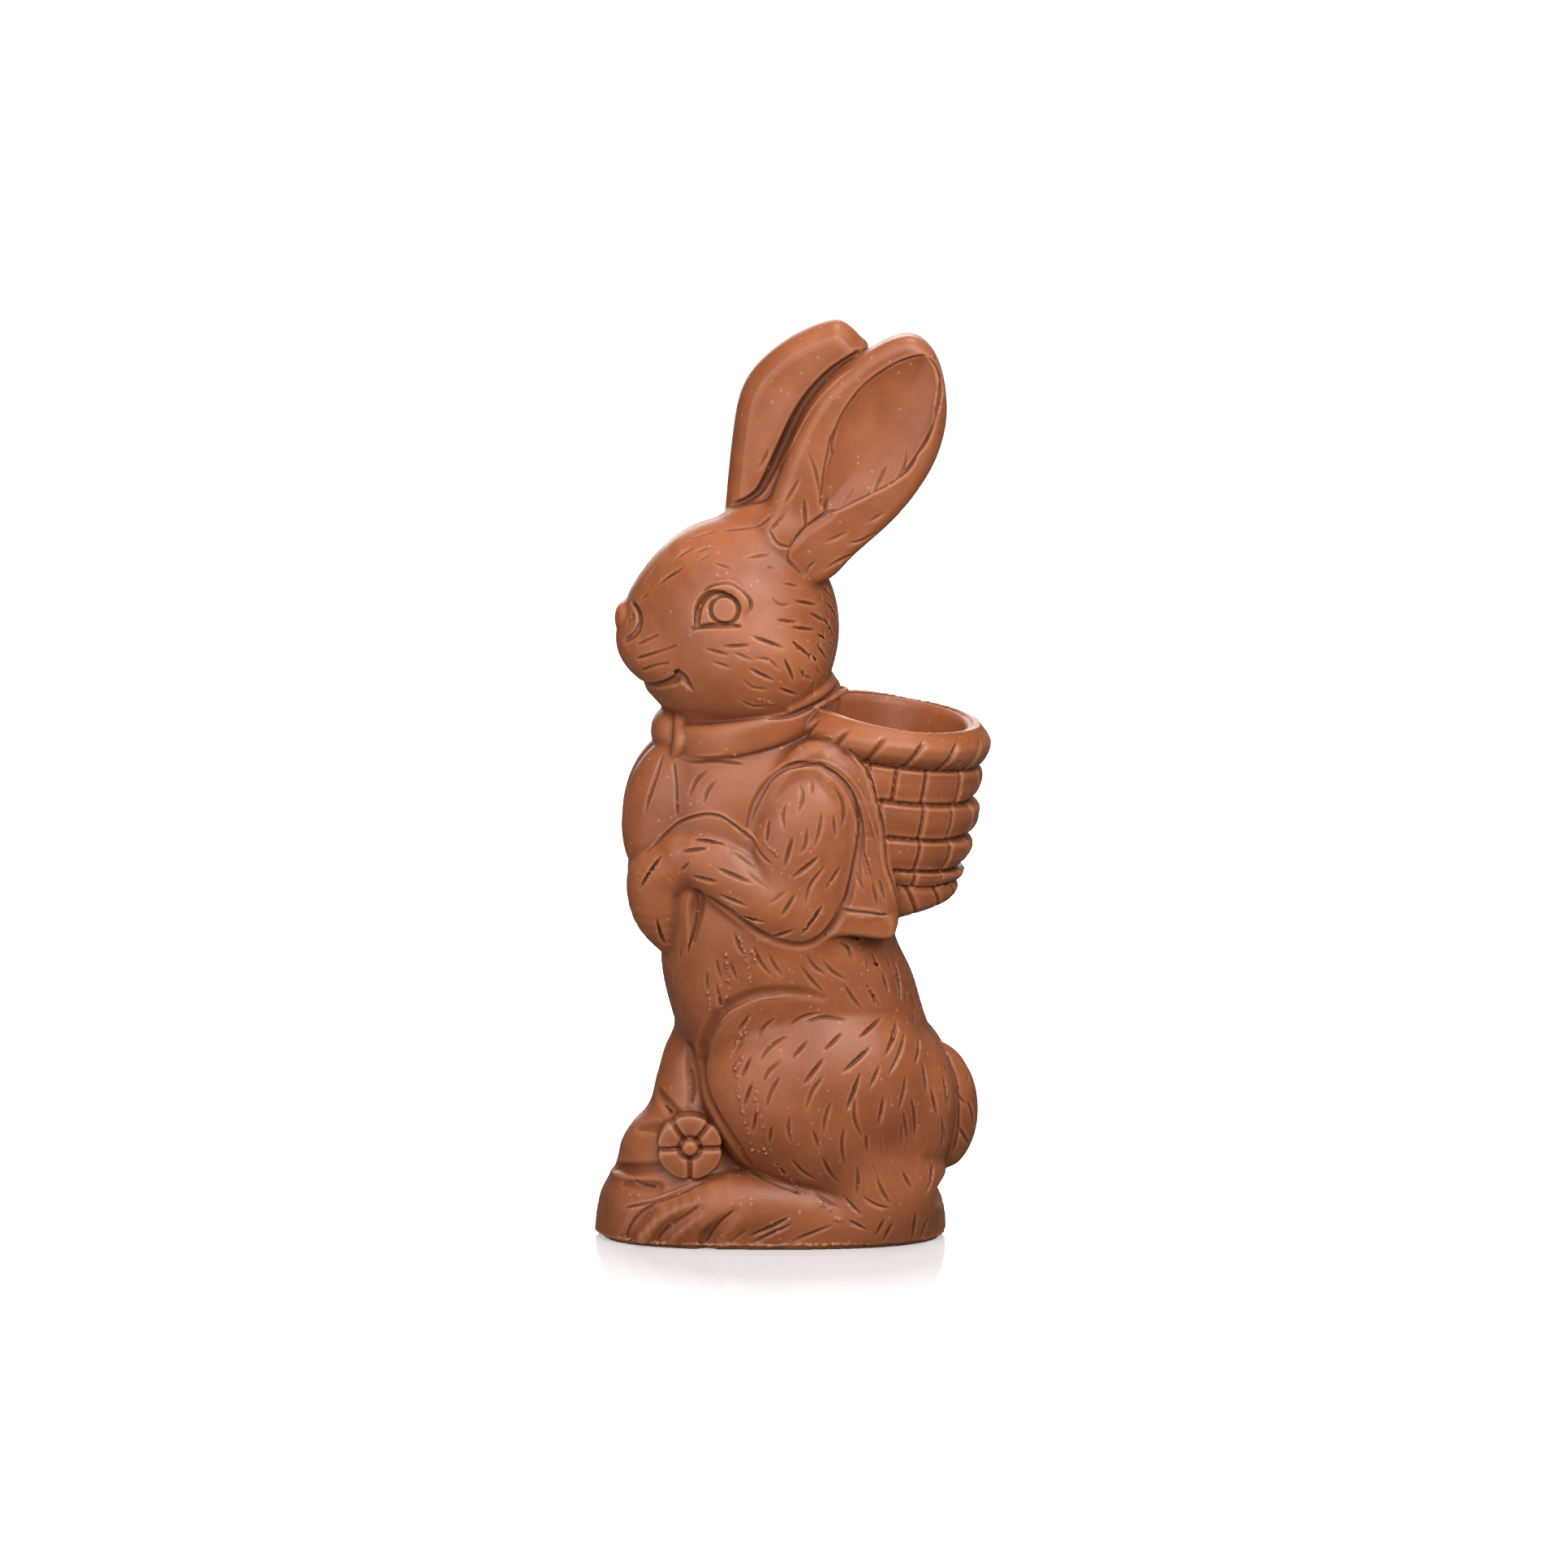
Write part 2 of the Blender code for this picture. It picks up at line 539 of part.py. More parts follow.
def add_basket(clay):
    """A woven basket with a braided rim and an open top, fused to the back."""
    deep_at = (0.0, 1.5, 4.0, 6.6, 8.0, 17.0, 24.0, 30.0, 34.0, 40.0)
    radius_at = (17.4, 18.9, 19.6, 18.9, 18.7, 19.0, 18.7, 17.6, 17.4, 15.5)
    rim_wide = BASKET_RIM_DEPTH / BASKET_RIM_LENGTH
    wall_wide = BASKET_WALL_DEPTH / BASKET_RIM_LENGTH
    mouth_half = BASKET_MOUTH_LENGTH / 2 * MM
    mouth_wide = BASKET_MOUTH_DEPTH / BASKET_MOUTH_LENGTH
    edge = 2.0

    def outer(x, s, z):
        u, deep = basket_place(x, z)
        wide = curve_at((3.0, 5.5, 7.3), (rim_wide, rim_wide - 0.03, wall_wide), deep)
        v = s / wide
        wall = curve_at(deep_at, radius_at, deep) + basket_relief(np.arctan2(u, v), deep)
        side = np.maximum(np.hypot(u, v) - wall, -deep - 0.3)
        under = BASKET_BOTTOM_Z * MM - z + (x - 17.2) * 0.17
        round_off = np.maximum(edge - np.abs(side - under), 0) ** 2 / (4 * edge)
        return np.maximum(side, under) + round_off

    clay.add((outer, np.array([-3, 0, 60.0]), np.array([40, 21, 106.0])), 0.5)

    def mouth(x, s, z):
        u, deep = basket_place(x, z)
        side = np.hypot(u - 1.0, s / mouth_wide) - (mouth_half - 0.14 * deep)
        return np.maximum(side, deep - BASKET_CUP_DEPTH * MM)

    clay.cut((mouth, np.array([1, 0, 86.0]), np.array([36, 18, 110.0])), 2.0)


def add_flower(clay):
    """A five-petalled flower on the tuft in front of the haunch."""
    centre = np.array([-19.5, 10.2, 19.2])
    radius = FLOWER_DIAMETER / 2 * MM
    thick = 2.9
    core = 0.33
    gaps = np.radians((0, 52, 124, 183, 270))

    def flower(x, s, z):
        away = np.hypot(x - centre[0], z - centre[2])
        angle = np.arctan2(z - centre[2], x - centre[0])
        turns = [np.abs(np.mod(angle - gap + math.pi, 2 * math.pi) - math.pi) for gap in gaps]
        beside = np.minimum(np.min(turns, axis=0), 1.5) * away
        share = away / radius
        petal = thick - 3.2 * (share - 0.65) ** 2 - 1.1 * np.exp(-((beside / 0.7) ** 2))
        button = thick + 0.4 - 2.0 * (share / core) ** 4
        top = np.maximum(np.minimum(petal, thick), button) - 0.5 * np.exp(-(((share - core) / 0.07) ** 2))
        rim = radius * (1 - 0.12 * np.exp(-((beside / 0.8) ** 2)))
        return np.maximum((s - centre[1] - top) * 0.8, away - rim)

    clay.add((flower, centre - (radius, 4.0, radius), centre + (radius, thick + 0.4, radius)), 0.2)


def stand_flat(points):
    """Rest the underside on z = 0, centre the length and bring the height to HEIGHT."""
    under = points[:, 2] < 0.3 * STEP
    points[under, 2] = 0.0
    points[:, 0] -= (points[:, 0].min() + points[:, 0].max()) / 2
    return points * HEIGHT * MM / points[:, 2].max()


def make_mesh(name, points, faces):
    mesh = bpy.data.meshes.new(name)
    mesh.from_pydata((points / MM).tolist(), [], faces.tolist())
    mesh.validate()
    return mesh


def chocolate():
    material = bpy.data.materials.new("milk_chocolate")
    material.use_nodes = True
    shader = material.node_tree.nodes["Principled BSDF"]
    shader.inputs["Base Color"].default_value = CHOCOLATE
    shader.inputs["Roughness"].default_value = 0.42
    shader.inputs["Metallic"].default_value = 0.0
    return material


def figure():
    """The whole bunny as points and quads."""
    clay = Clay(GRID_LOW, GRID_HIGH, STEP)
    clay.add(torso_form())
    add_ground(clay)
    add_hind_leg(clay)
    add_vest(clay)
    add_basket(clay)
    add_strap(clay)
    add_arm(clay)
    add_head(clay)
    add_eye(clay)
    add_ears(clay)
    add_scarf(clay)
    add_flower(clay)
    floor = (lambda x, s, z: z + 0 * x + 0 * s, np.array([-42, 0, -3]), np.array([42, 24, 0]))
    clay.cut(floor)
    return clay.surface()


def build():
    for old in list(bpy.data.objects):
        bpy.data.objects.remove(old, do_unlink=True)
    points, quads = figure()
    mesh = make_mesh("bunny", stand_flat(points), quads)
    bunny = bpy.data.objects.new("bunny", mesh)
    bpy.context.scene.collection.objects.link(bunny)
    fewer = bunny.modifiers.new("fewer_faces", "DECIMATE")
    fewer.ratio = TRIANGLES / (2 * len(quads))
    fewer.use_collapse_triangulate = True
    evaluated = bunny.evaluated_get(bpy.context.evaluated_depsgraph_get())
    light = bpy.data.meshes.new_from_object(evaluated)
    bunny.modifiers.clear()
    bunny.data = light
    for vertex in light.vertices:
        if vertex.co.z < 0.0001:
            vertex.co.z = 0.0
    light.shade_smooth()
    light.materials.append(chocolate())


build()
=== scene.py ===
"""Looks of the moulded milk chocolate bunny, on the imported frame.

The CAD solid's forms are modelled again on a finer grid, and then get what the mould
gives the real figure: fur lines, weave, seams, small pits and a trimmed base.
Forms are in millimetres as (x, s, z), where s is the distance from the parting plane.
"""

import math
from itertools import accumulate

import bpy
import numpy as np
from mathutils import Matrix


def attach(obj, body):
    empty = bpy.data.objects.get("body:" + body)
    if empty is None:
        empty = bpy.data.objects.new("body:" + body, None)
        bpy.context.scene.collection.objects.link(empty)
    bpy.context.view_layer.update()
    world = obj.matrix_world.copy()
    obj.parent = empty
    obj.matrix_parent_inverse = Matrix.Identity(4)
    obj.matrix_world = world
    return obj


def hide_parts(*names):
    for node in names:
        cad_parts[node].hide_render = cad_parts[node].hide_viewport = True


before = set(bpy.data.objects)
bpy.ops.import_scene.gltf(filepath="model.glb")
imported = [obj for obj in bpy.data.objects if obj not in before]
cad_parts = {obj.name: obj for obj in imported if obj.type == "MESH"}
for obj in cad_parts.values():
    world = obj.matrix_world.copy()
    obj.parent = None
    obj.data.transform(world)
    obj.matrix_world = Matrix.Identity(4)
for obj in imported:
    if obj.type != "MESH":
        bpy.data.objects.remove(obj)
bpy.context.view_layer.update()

import openvdb
from mathutils import Vector

# Driving dimensions of the figure, in metres
HEIGHT = 0.179
BASE_LENGTH = 0.0668
BASE_FRONT_X = -0.0379
BASE_DEPTH = 0.029
HEAD_LENGTH = 0.039
HEAD_HEIGHT = 0.0436
HEAD_WIDTH = 0.031
EAR_THICKNESS = 0.0088
BASKET_RIM_LENGTH = 0.0392
BASKET_RIM_DEPTH = 0.0392
BASKET_WALL_DEPTH = 0.0354
BASKET_LEAN = 8.5
BASKET_MOUTH_LENGTH = 0.0276
BASKET_MOUTH_DEPTH = 0.0318
BASKET_CUP_DEPTH = 0.0140
BASKET_RIM_Z = 0.1032
BASKET_CENTRE_X = 0.0187
BASKET_BOTTOM_Z = 0.0648
FLOWER_DIAMETER = 0.0125

# The grid that the forms are worked out on, in millimetres
STEP = 0.25
MM = 1000.0
OUTSIDE = 6.0
LINE_REACH = 2.0
GRID_LOW = (-42.0, -23.0, -2.0)
GRID_HIGH = (42.0, 23.0, 182.0)

# Colours of the chocolate: its body, painted shade for its hollows, painted highlights for its edges,
# painted shade for its creases, its lines and the contact shadow at its foot, and its grains
BROWN_DARK = (0.268, 0.074, 0.024, 1.0)
BROWN_LIGHT = (0.365, 0.110, 0.040, 1.0)
BROWN_HOLLOW_SHADE = (0.15, 0.040, 0.014, 1.0)
BROWN_EDGE_HIGHLIGHT = (0.43, 0.165, 0.075, 1.0)
BROWN_CREASE_SHADE = (0.085, 0.022, 0.009, 1.0)
BROWN_LINE_AND_CONTACT_SHADE = (0.080, 0.021, 0.009, 1.0)
BROWN_SPECK = (0.50, 0.22, 0.12, 1.0)

# Where the photograph shows x = 0 and z = 0, its pixels to the millimetre, and how many
# millimetres lower it shows a point of the near side for each millimetre of s
PHOTO_X = 976.0
PHOTO_Z = 1518.5
PHOTO_ACROSS = 6.39
PHOTO_UP = 6.262
PHOTO_DROP = 0.2

# Fur beyond what the photograph shows, on parts that face forwards or backwards: their x, s and z
# ranges, which way they face and how many strokes they get; then how squarely the skin there faces
# that way, how far apart the strokes lie, how much they turn, and their size
FUR_ZONES = (
    ((-32.0, -8.0), (1.2, 11.0), (46.0, 60.0), -1, 14), ((10.0, 34.0), (1.2, 15.0), (42.0, 62.0), 1, 34),
    ((24.0, 34.0), (1.2, 13.0), (5.0, 40.0), 1, 30), ((0.0, 16.0), (1.2, 15.0), (110.0, 128.0), 1, 34),
    ((-40.0, -12.0), (2.0, 9.0), (118.0, 134.0), -1, 12), ((2.0, 30.0), (1.0, 8.0), (134.0, 150.0), 1, 10),
)
FUR_FACING = 0.72
FUR_APART = 3.0
FUR_SWAY = 0.35
FUR_HALF_LENGTH = (1.2, 2.4)
FUR_RADII = (0.12, 0.2, 0.28, 0.32, 0.28, 0.2, 0.12)

# How far above the skin a fur stroke's axis lies, and how far beyond its cut a line gets painted shade
STROKE_LIFT = 0.08
LINE_SHADE_REACH = 0.08


def strokes(*rows):
    """Paths in pixels; each row is a start, across and down, and then the step to each next point."""
    return [list(zip(accumulate(row[::2]), accumulate(row[1::2]))) for row in rows]


# Lines and fur strokes seen in the photograph, in its pixels, to be laid on the near side's skin
EAR_GAP = [
    (1054, 435), (1033, 448), (1012, 466), (990, 492), (975, 518), (962, 546), (951, 570), (942, 588),
    (932, 604), (916, 615), (901, 620),
]
EAR_LINES = strokes(
    (1135, 439, -15, 3, -20, 7, -20, 12, -20, 16, -13, 15, -12, 18, -7, 15, -5, 15, -3, 18),
    (1137, 440, 11, 12, 5, 13, 2, 15, -5, 20, -5, 20, -7, 18, -8, 14, -15, 23, -15, 15),
    (1103, 588, -18, 10, -15, 7, -20, 10, -20, 10, -15, 5, -15, 10, -15, 12, -15, 20),
    (1021, 535, -3, 15, -6, 30, -2, 20, -3, 25),
)
EAR_THICK = strokes(
    (1024, 530, -2, 15, 2, 15), (1154, 466, -1, 16, -4, 18, -5, 18), (1141, 530, -5, 11, -10, 15),
    (1121, 566, -9, 12, -14, 12),
)
EAR_STROKES = strokes(
    (1018, 610, -5, 20), (993, 557, 7, 18, 6, 25, 2, 20), (988, 617, 1, 23), (980, 592, -13, 23),
    (968, 626, -13, 16, -10, 8), (946, 634, -13, 11, -33, 5, -10, 1), (1112, 553, -4, 22, -8, 12),
    (1088, 573, -8, 15, -8, 14), (1047, 602, -10, 13), (1083, 631, -15, 9), (1037, 655, -19, 9),
    (1073, 655, -13, 8, -15, 4), (1045, 681, -17, 9, -13, 7), (1003, 688, -10, 9, -3, 9),
    (944, 552, -4, 10, -8, 13), (947, 655, 8, 13, 15, 4), (970, 672, -2, 13, 7, 10, 10, 10),
)
HEAD_STROKES = strokes(
    (853, 660, 22, -7), (833, 685, 15, -10), (860, 688, 10, -6), (880, 692, 15, 5), (920, 685, 20, -3),
    (795, 712, 11, -15), (813, 715, 22, -15), (950, 735, 8, 7, 12, 0), (997, 753, 13, 7),
    (958, 761, 17, 2), (930, 783, 25, 9), (893, 793, 22, -1), (930, 808, 15, 2, 11, 10),
    (925, 822, 20, 10), (915, 835, 10, 8, 15, 2), (912, 860, 13, 6, 15, 0), (977, 790, 15, 13),
    (1007, 780, 13, 10), (1005, 793, 8, 12), (1000, 808, 10, 18), (965, 811, 8, 19),
    (982, 820, 6, 8, 8, 4), (960, 845, 15, 5), (1018, 742, 8, 15), (1014, 762, 9, 21), (943, 696, 8, 1),
    (1012, 722, 8, 8), (980, 738, 18, 3), (977, 770, 18, 2), (905, 802, 15, 6), (870, 797, 20, 5),
    (895, 818, -15, -5), (872, 672, -14, 5), (965, 716, 13, 3),
)
ARM_STROKES = strokes(
    (982, 962, 4, 13, -5, 18), (994, 953, 4, 10, -2, 10), (1025, 966, 8, 14, 3, 20, -2, 12),
    (964, 987, -3, 13, 2, 13), (1009, 998, -2, 17, -5, 18), (944, 1008, -3, 20),
    (991, 1016, -2, 19, -7, 10), (972, 1030, -7, 25), (1001, 1053, -21, 17),
    (1010, 1065, -15, 20, -5, 20), (1030, 1065, -12, 19), (975, 1098, -12, 19), (1006, 1115, -16, 22),
    (970, 1141, -20, 7), (858, 1029, 25, 4), (907, 1046, 20, 14), (887, 1066, 28, 12),
    (921, 1070, 19, 15), (855, 1075, 20, 4), (888, 1098, 22, 9), (905, 1118, 26, 9), (809, 1054, -17, 26),
    (845, 1058, -7, 8), (1024, 1003, 2, 17), (948, 1105, 14, -11), (840, 1043, 22, -3),
    (808, 1131, 7, 24, 11, 18),
)
CHEST_STROKES = strokes(
    (867, 945, -11, 11, -8, 16), (879, 957, -9, 11, -5, 14), (813, 930, -8, 25, -10, 33),
)
VEST_STROKES = strokes(
    (1052, 1030, 10, 35), (1056, 1035, 12, 33), (1048, 1062, 10, 23), (1072, 1085, 4, 20),
    (1080, 1080, 5, 18),
)
BODY_STROKES = strokes(
    (903, 1145, 5, 15, 7, 12), (927, 1163, 8, 17, 10, 13), (945, 1170, 7, 14, 8, 11),
    (991, 1170, 9, 14, 12, 9), (1010, 1175, 12, 15, 15, 9), (1032, 1155, 10, 7, 6, 13),
    (880, 1208, 3, 14, 4, 15), (985, 1185, 11, 15, 12, 13), (1038, 1208, 9, 14, 10, 13),
    (1065, 1208, 7, 12, 8, 12), (880, 1178, 4, 17), (898, 1182, 6, 16), (1072, 1170, 8, 18),
    (1085, 1195, 5, 17), (868, 1195, 0, 15),
)
HAUNCH_STROKES = strokes(
    (970, 1258, 15, -11, 20, -5), (994, 1252, 18, -5, 23, 3), (932, 1270, 6, -10, 12, -10),
    (935, 1297, 13, -16, 17, -10), (938, 1325, 7, -13, 12, -10), (942, 1355, 5, -17, 10, -16),
    (990, 1325, 17, -22), (991, 1357, 7, -20, 12, -16), (1040, 1310, 22, -20), (1042, 1355, 11, -30),
    (1094, 1313, 10, -19, 6, -22), (1090, 1288, 8, -22, 3, -23), (1012, 1387, 2, -17, 6, -17),
    (970, 1370, -2, 14, 3, 14), (1050, 1350, 0, 22, 7, 18), (1105, 1358, 5, -18, 2, -18),
    (1120, 1350, 4, 20, 0, 22), (1037, 1385, -3, 20, 4, 23), (1012, 1423, 8, 17, 10, 12),
    (1053, 1432, 1, 16, -2, 17), (975, 1425, 11, 13, 14, 9), (1000, 1462, 15, 12, 15, 8),
    (1037, 1470, 16, 17), (1062, 1470, 13, 9, 15, 4), (1078, 1447, 6, 15, 8, 13), (908, 1262, 10, -14),
    (903, 1290, 9, -15), (912, 1318, 8, -18), (915, 1352, 7, -20), (925, 1385, 3, -17),
    (945, 1400, 2, -15), (975, 1295, 13, -15), (1015, 1285, 15, -15), (1060, 1268, 18, -16),
    (1070, 1330, 8, -18), (1080, 1375, 4, -23), (1085, 1420, -3, -20), (1108, 1405, 0, -20),
    (1005, 1405, -5, -15), (955, 1430, 10, 12), (1065, 1412, -1, -17), (1110, 1440, 8, 15),
    (1130, 1420, 6, -15), (1138, 1335, -4, -25), (1125, 1300, 3, -20), (1145, 1340, 5, 22),
    (1160, 1326, 3, 24), (1158, 1375, 2, 17, -3, 16), (1111, 1370, 5, 30), (1150, 1405, -4, 30, -6, 25),
    (1068, 1420, 10, 20), (1100, 1185, 5, 33), (1120, 1220, 7, 20), (1085, 1500, -7, 15),
    (1095, 1505, -8, 17), (1125, 1495, -3, 25), (1140, 1500, -7, 20), (1100, 1244, 1, 18, -11, 26),
)
TAIL_STROKES = strokes(
    (1175, 1337, 5, 10, 7, 8), (1191, 1355, 5, 13, 1, 15), (1179, 1385, 6, 9, 5, 10), (1186, 1300, 6, 14),
)
FOOT_STROKES = strokes(
    (915, 1512, -18, 14), (963, 1498, -33, 16), (965, 1507, -35, 17), (975, 1524, 25, -10, 20, -8),
    (1000, 1528, 33, -18), (1045, 1500, 15, 8),
)
FACE_LINES = strokes(
    (783, 790, 13, -5, 14, -7), (781, 808, 27, -8, 26, -9), (788, 822, 18, -6, 18, -3),
    (777, 738, 7, 8, 3, 10, -2, 12, -7, 9, -10, 7), (777, 752, 2, 5, -3, 4),
    (810, 837, 8, -2, 8, -4, 6, -7, 3, -4), (838, 823, 5, 7, 6, 11),
)
EYE_LINES = strokes(
    (855, 770, 0, -12, 4, -13, 8, -11, 11, -5, 11, 0, 10, 4, 7, 6),
    (849, 773, 13, -3, 16, -3, 18, -1, 15, 3),
)
# Across and down of the eye's ring, and its radius
EYE_RING = (891, 749, 17)
BROW_LINE = [
    (864, 726), (874, 719), (886, 716), (898, 716), (908, 721), (917, 729), (923, 739), (923, 751),
]
TUFT_LINES = strokes(
    (848, 1311, 3, 14, 1, 16, -3, 16), (815, 1356, 9, 10, 6, 10), (778, 1450, 12, 6, 16, 2),
    (765, 1485, 22, -5, 21, -4, 29, -11, 29, -14), (918, 1439, 22, 10, 22, 9, 23, 8),
)
TOE_LINES = strokes(
    (768, 1523, 4, -13, 8, -13, 12, -11, 12, -7), (804, 1534, 7, -16, 14, -14, 19, -13, 16, -12),
    (867, 1527, 6, -11, 11, -15, 18, -16),
)
VEST_LINES = strokes(
    (1032, 1114, 28, 4, 32, 3), (1012, 1144, 38, 6, 50, 3), (828, 933, 3, 32, 2, 37),
    (857, 1092, 0, 27, -5, 21, -8, 32),
    (790, 1050, 23, -23, 22, -19, 26, -9, 22, 1, 17, 10, 20, 16, 15, 21, 15, 13),
    (1033, 907, 16, 17, 16, 20, 12, 38, 9, 37, 3, 40, 10, 30, 3, 23),
    (920, 1019, 6, -20, 11, -26, 17, -22, 22, -10, 22, -4, 17, 4, 20, 15, 13, 19, 6, 26, -1, 29, -5, 26,
     -9, 41, -9, 16), (828, 927, 24, 7, 28, -1, 35, 3), (1161, 1289, 9, 19, 6, 17, 3, 30, -1, 35, -7, 28),
)
# Sharp folds that the material paints pale as a highlight, rows of crumbs and small round pits
RIDGES = strokes(
    (790, 1046, 23, -23, 22, -19, 26, -9, 22, 1, 17, 10, 22, 15, 16, 22),
    (998, 932, 17, 2, 23, 14, 20, 26, 12, 34, 11, 40),
    (880, 1262, 12, -15, 13, -10, 25, -11, 25, -4, 30, -1), (769, 1480, 37, -8, 31, -12, 27, -12),
    (922, 1436, 20, 8, 20, 8), (1030, 912, 15, 14, 15, 20, 11, 36, 9, 37, 3, 40, 10, 30, 3, 23),
    (1034, 1110, 26, 4, 31, 3), (965, 909, 25, -6, 25, -1, 13, 4), (846, 926, 34, -1, 45, -9),
    (1062, 438, -21, 13, -21, 18, -22, 26, -15, 26, -13, 28, -11, 24, -9, 18, -10, 17),
)
STREAKS = strokes(
    (998, 869, 10, -5, 6, -4), (1018, 859, 10, -7, 14, -7),
)
CRUMB_ROWS = strokes(
    (905, 1320, 3, 25, 9, 33, 9, 32), (940, 1410, 15, 22, 20, 20), (893, 1170, 3, 30, -3, 25),
    (912, 1295, -7, 17), (925, 1165, 5, 15), (965, 1440, 20, 26, 25, 14), (925, 1330, 5, 30, 10, 25),
    (870, 1215, 2, 25), (908, 1150, 10, 30, 4, 25), (1060, 1180, 6, 10), (905, 1280, 11, -18),
    (890, 920, 15, 5), (935, 858, 15, 4), (940, 1030, 15, 15), (1015, 1480, 15, 20),
)
PITS = [
    (1147, 443), (1096, 937), (1178, 934), (1192, 910), (1207, 908), (1104, 984), (1187, 985),
    (1013, 1147),
]


def curve_at(keys, values, at):
    """Smooth curve through values at keys, read at the given places."""
    keys = np.asarray(keys, np.float32)
    values = np.asarray(values, np.float32)
    slopes = np.gradient(values, keys, axis=0)
    at = np.clip(at, keys[0], keys[-1])
    i = np.clip(np.searchsorted(keys, at, side="right") - 1, 0, len(keys) - 2)
    gap = keys[i + 1] - keys[i]
    t = (at - keys[i]) / gap
    if values.ndim > 1:
        t = t[..., None]
        gap = gap[..., None]
    rise = 3 * t**2 - 2 * t**3
    start = (t**3 - 2 * t**2 + t) * slopes[i] * gap
    end = (t**3 - t**2) * slopes[i + 1] * gap
    return values[i] * (1 - rise) + values[i + 1] * rise + start + end


def smooth_path(points, steps, closed=False):
    """Points along a smooth curve through the given ones."""
    points = np.asarray(points, np.float32)
    if closed:
        count = len(points)
        points = np.concatenate([points[-2:], points, points[:3]])
        at = 2 + np.arange(count * steps, dtype=np.float32) / steps
    else:
        at = np.arange((len(points) - 1) * steps + 1, dtype=np.float32) / steps
    return curve_at(np.arange(len(points)), points, at)


def ellipsoid(centre, radii, lean=0.0):
    """An ellipsoid whose top leans towards +X by lean degrees."""
    centre = np.array(centre, np.float32)
    radii = np.array(radii, np.float32)
    turn = math.radians(lean)
    ca = math.cos(turn)
    sa = math.sin(turn)

    def distance(x, s, z):
        dx = x - centre[0]
        dz = z - centre[2]
        u = (dx * ca - dz * sa) / radii[0]
        v = (s - centre[1]) / radii[1]
        w = (dx * sa + dz * ca) / radii[2]
        near = np.sqrt(u * u + v * v + w * w)
        slope = np.sqrt((u / radii[0]) ** 2 + (v / radii[1]) ** 2 + (w / radii[2]) ** 2)
        return near * (near - 1) / (slope + 1e-6)

    reach_x = math.hypot(radii[0] * ca, radii[2] * sa)
    reach_z = math.hypot(radii[0] * sa, radii[2] * ca)
    reach = np.array([reach_x, radii[1], reach_z])
    return distance, centre - reach, centre + reach


def tube(points, radii, flat=1.0, steps=4):
    """A rounded tube through points; flat is its s radius over its x-z radius."""
    path = smooth_path(points, steps)
    thick = smooth_path(np.asarray(radii)[:, None], steps)[:, 0]

    def distance(x, s, z):
        best = None
        for a, b, ra, rb in zip(path[:-1], path[1:], thick[:-1], thick[1:]):
            run = (b - a) / (1.0, flat, 1.0)
            dx = x - a[0]
            ds = (s - a[1]) / flat
            dz = z - a[2]
            along = (dx * run[0] + ds * run[1] + dz * run[2]) / (run @ run + 1e-9)
            t = np.clip(along, 0, 1)
            away = (dx - t * run[0]) ** 2 + (ds - t * run[1]) ** 2 + (dz - t * run[2]) ** 2
            d = np.sqrt(away) - ra - (rb - ra) * t
            best = d if best is None else np.minimum(best, d)
        return best * flat

    grow = thick.max() * np.array([1.0, flat, 1.0])
    return distance, path.min(0) - grow, path.max(0) + grow


def outline_distance(outline, x, z):
    """Distance in the x-z plane to a closed outline, negative inside it."""
    best = np.full(np.broadcast(x, z).shape, 1e9, np.float32)
    inside = np.zeros(best.shape, bool)
    for (ax, az), (bx, bz) in zip(outline, np.roll(outline, -1, axis=0)):
        run_x = bx - ax
        run_z = bz - az
        along = ((x - ax) * run_x + (z - az) * run_z) / (run_x**2 + run_z**2 + 1e-9)
        t = np.clip(along, 0, 1)
        best = np.minimum(best, (x - ax - t * run_x) ** 2 + (z - az - t * run_z) ** 2)
        if run_z != 0:
            crosses = (az <= z) != (bz <= z)
            inside ^= crosses & (x < ax + (z - az) / run_z * run_x)
    best = np.sqrt(best)
    return np.where(inside, -best, best)


def outline_form(distance, outline, s_low, s_high):
    """A form with its distances, and the box round its outline between two values of s."""
    low = np.array([outline[:, 0].min(), s_low, outline[:, 1].min()])
    high = np.array([outline[:, 0].max(), s_high, outline[:, 1].max()])
    return distance, low, high


def slab(outline, middle, half, edge):
    """A flat form with that outline, centred on s = middle, with rounded edges."""
    outline = smooth_path(outline, 4, closed=True)

    def distance(x, s, z):
        across = outline_distance(outline, x, z) + edge
        through = np.abs(s - middle) - (half - edge)
        corner = np.sqrt(np.maximum(across, 0) ** 2 + np.maximum(through, 0) ** 2)
        return corner + np.minimum(np.maximum(across, through), 0) - edge

    return outline_form(distance, outline, middle - half, middle + half)


def dish(outline, top, rim, deep, slope):
    """A hollow with that outline in a face at s = top, as deep as rim at its edge."""
    outline = smooth_path(outline, 4, closed=True)

    def distance(x, s, z):
        across = outline_distance(outline, x, z)
        depth = rim + (deep - rim) * (1 - np.exp(np.minimum(across, 0) * slope))
        return np.maximum(across, top - depth - s)

    return outline_form(distance, outline, top - deep, top + 1.0)


def stack(levels, power=2.0):
    """Oval sections stacked in z; rows hold z, front x, back x and half width."""
    rows = np.asarray(levels, np.float32)

    def distance(x, s, z):
        level = curve_at(rows[:, 0], rows[:, 1:], z)
        front = level[..., 0]
        back = level[..., 1]
        wide = level[..., 2]
        half = (back - front) / 2
        u = np.abs(x - (front + back) / 2) / half
        v = np.abs(s) / wide
        side = ((u**power + v**power) ** (1 / power) - 1) * np.minimum(half, wide)
        return np.maximum(side, np.maximum(rows[0, 0] - z, z - rows[-1, 0]))

    low = np.array([rows[:, 1].min(), 0.0, rows[0, 0]])
    high = np.array([rows[:, 2].max(), rows[:, 3].max(), rows[-1, 0]])
    return distance, low, high


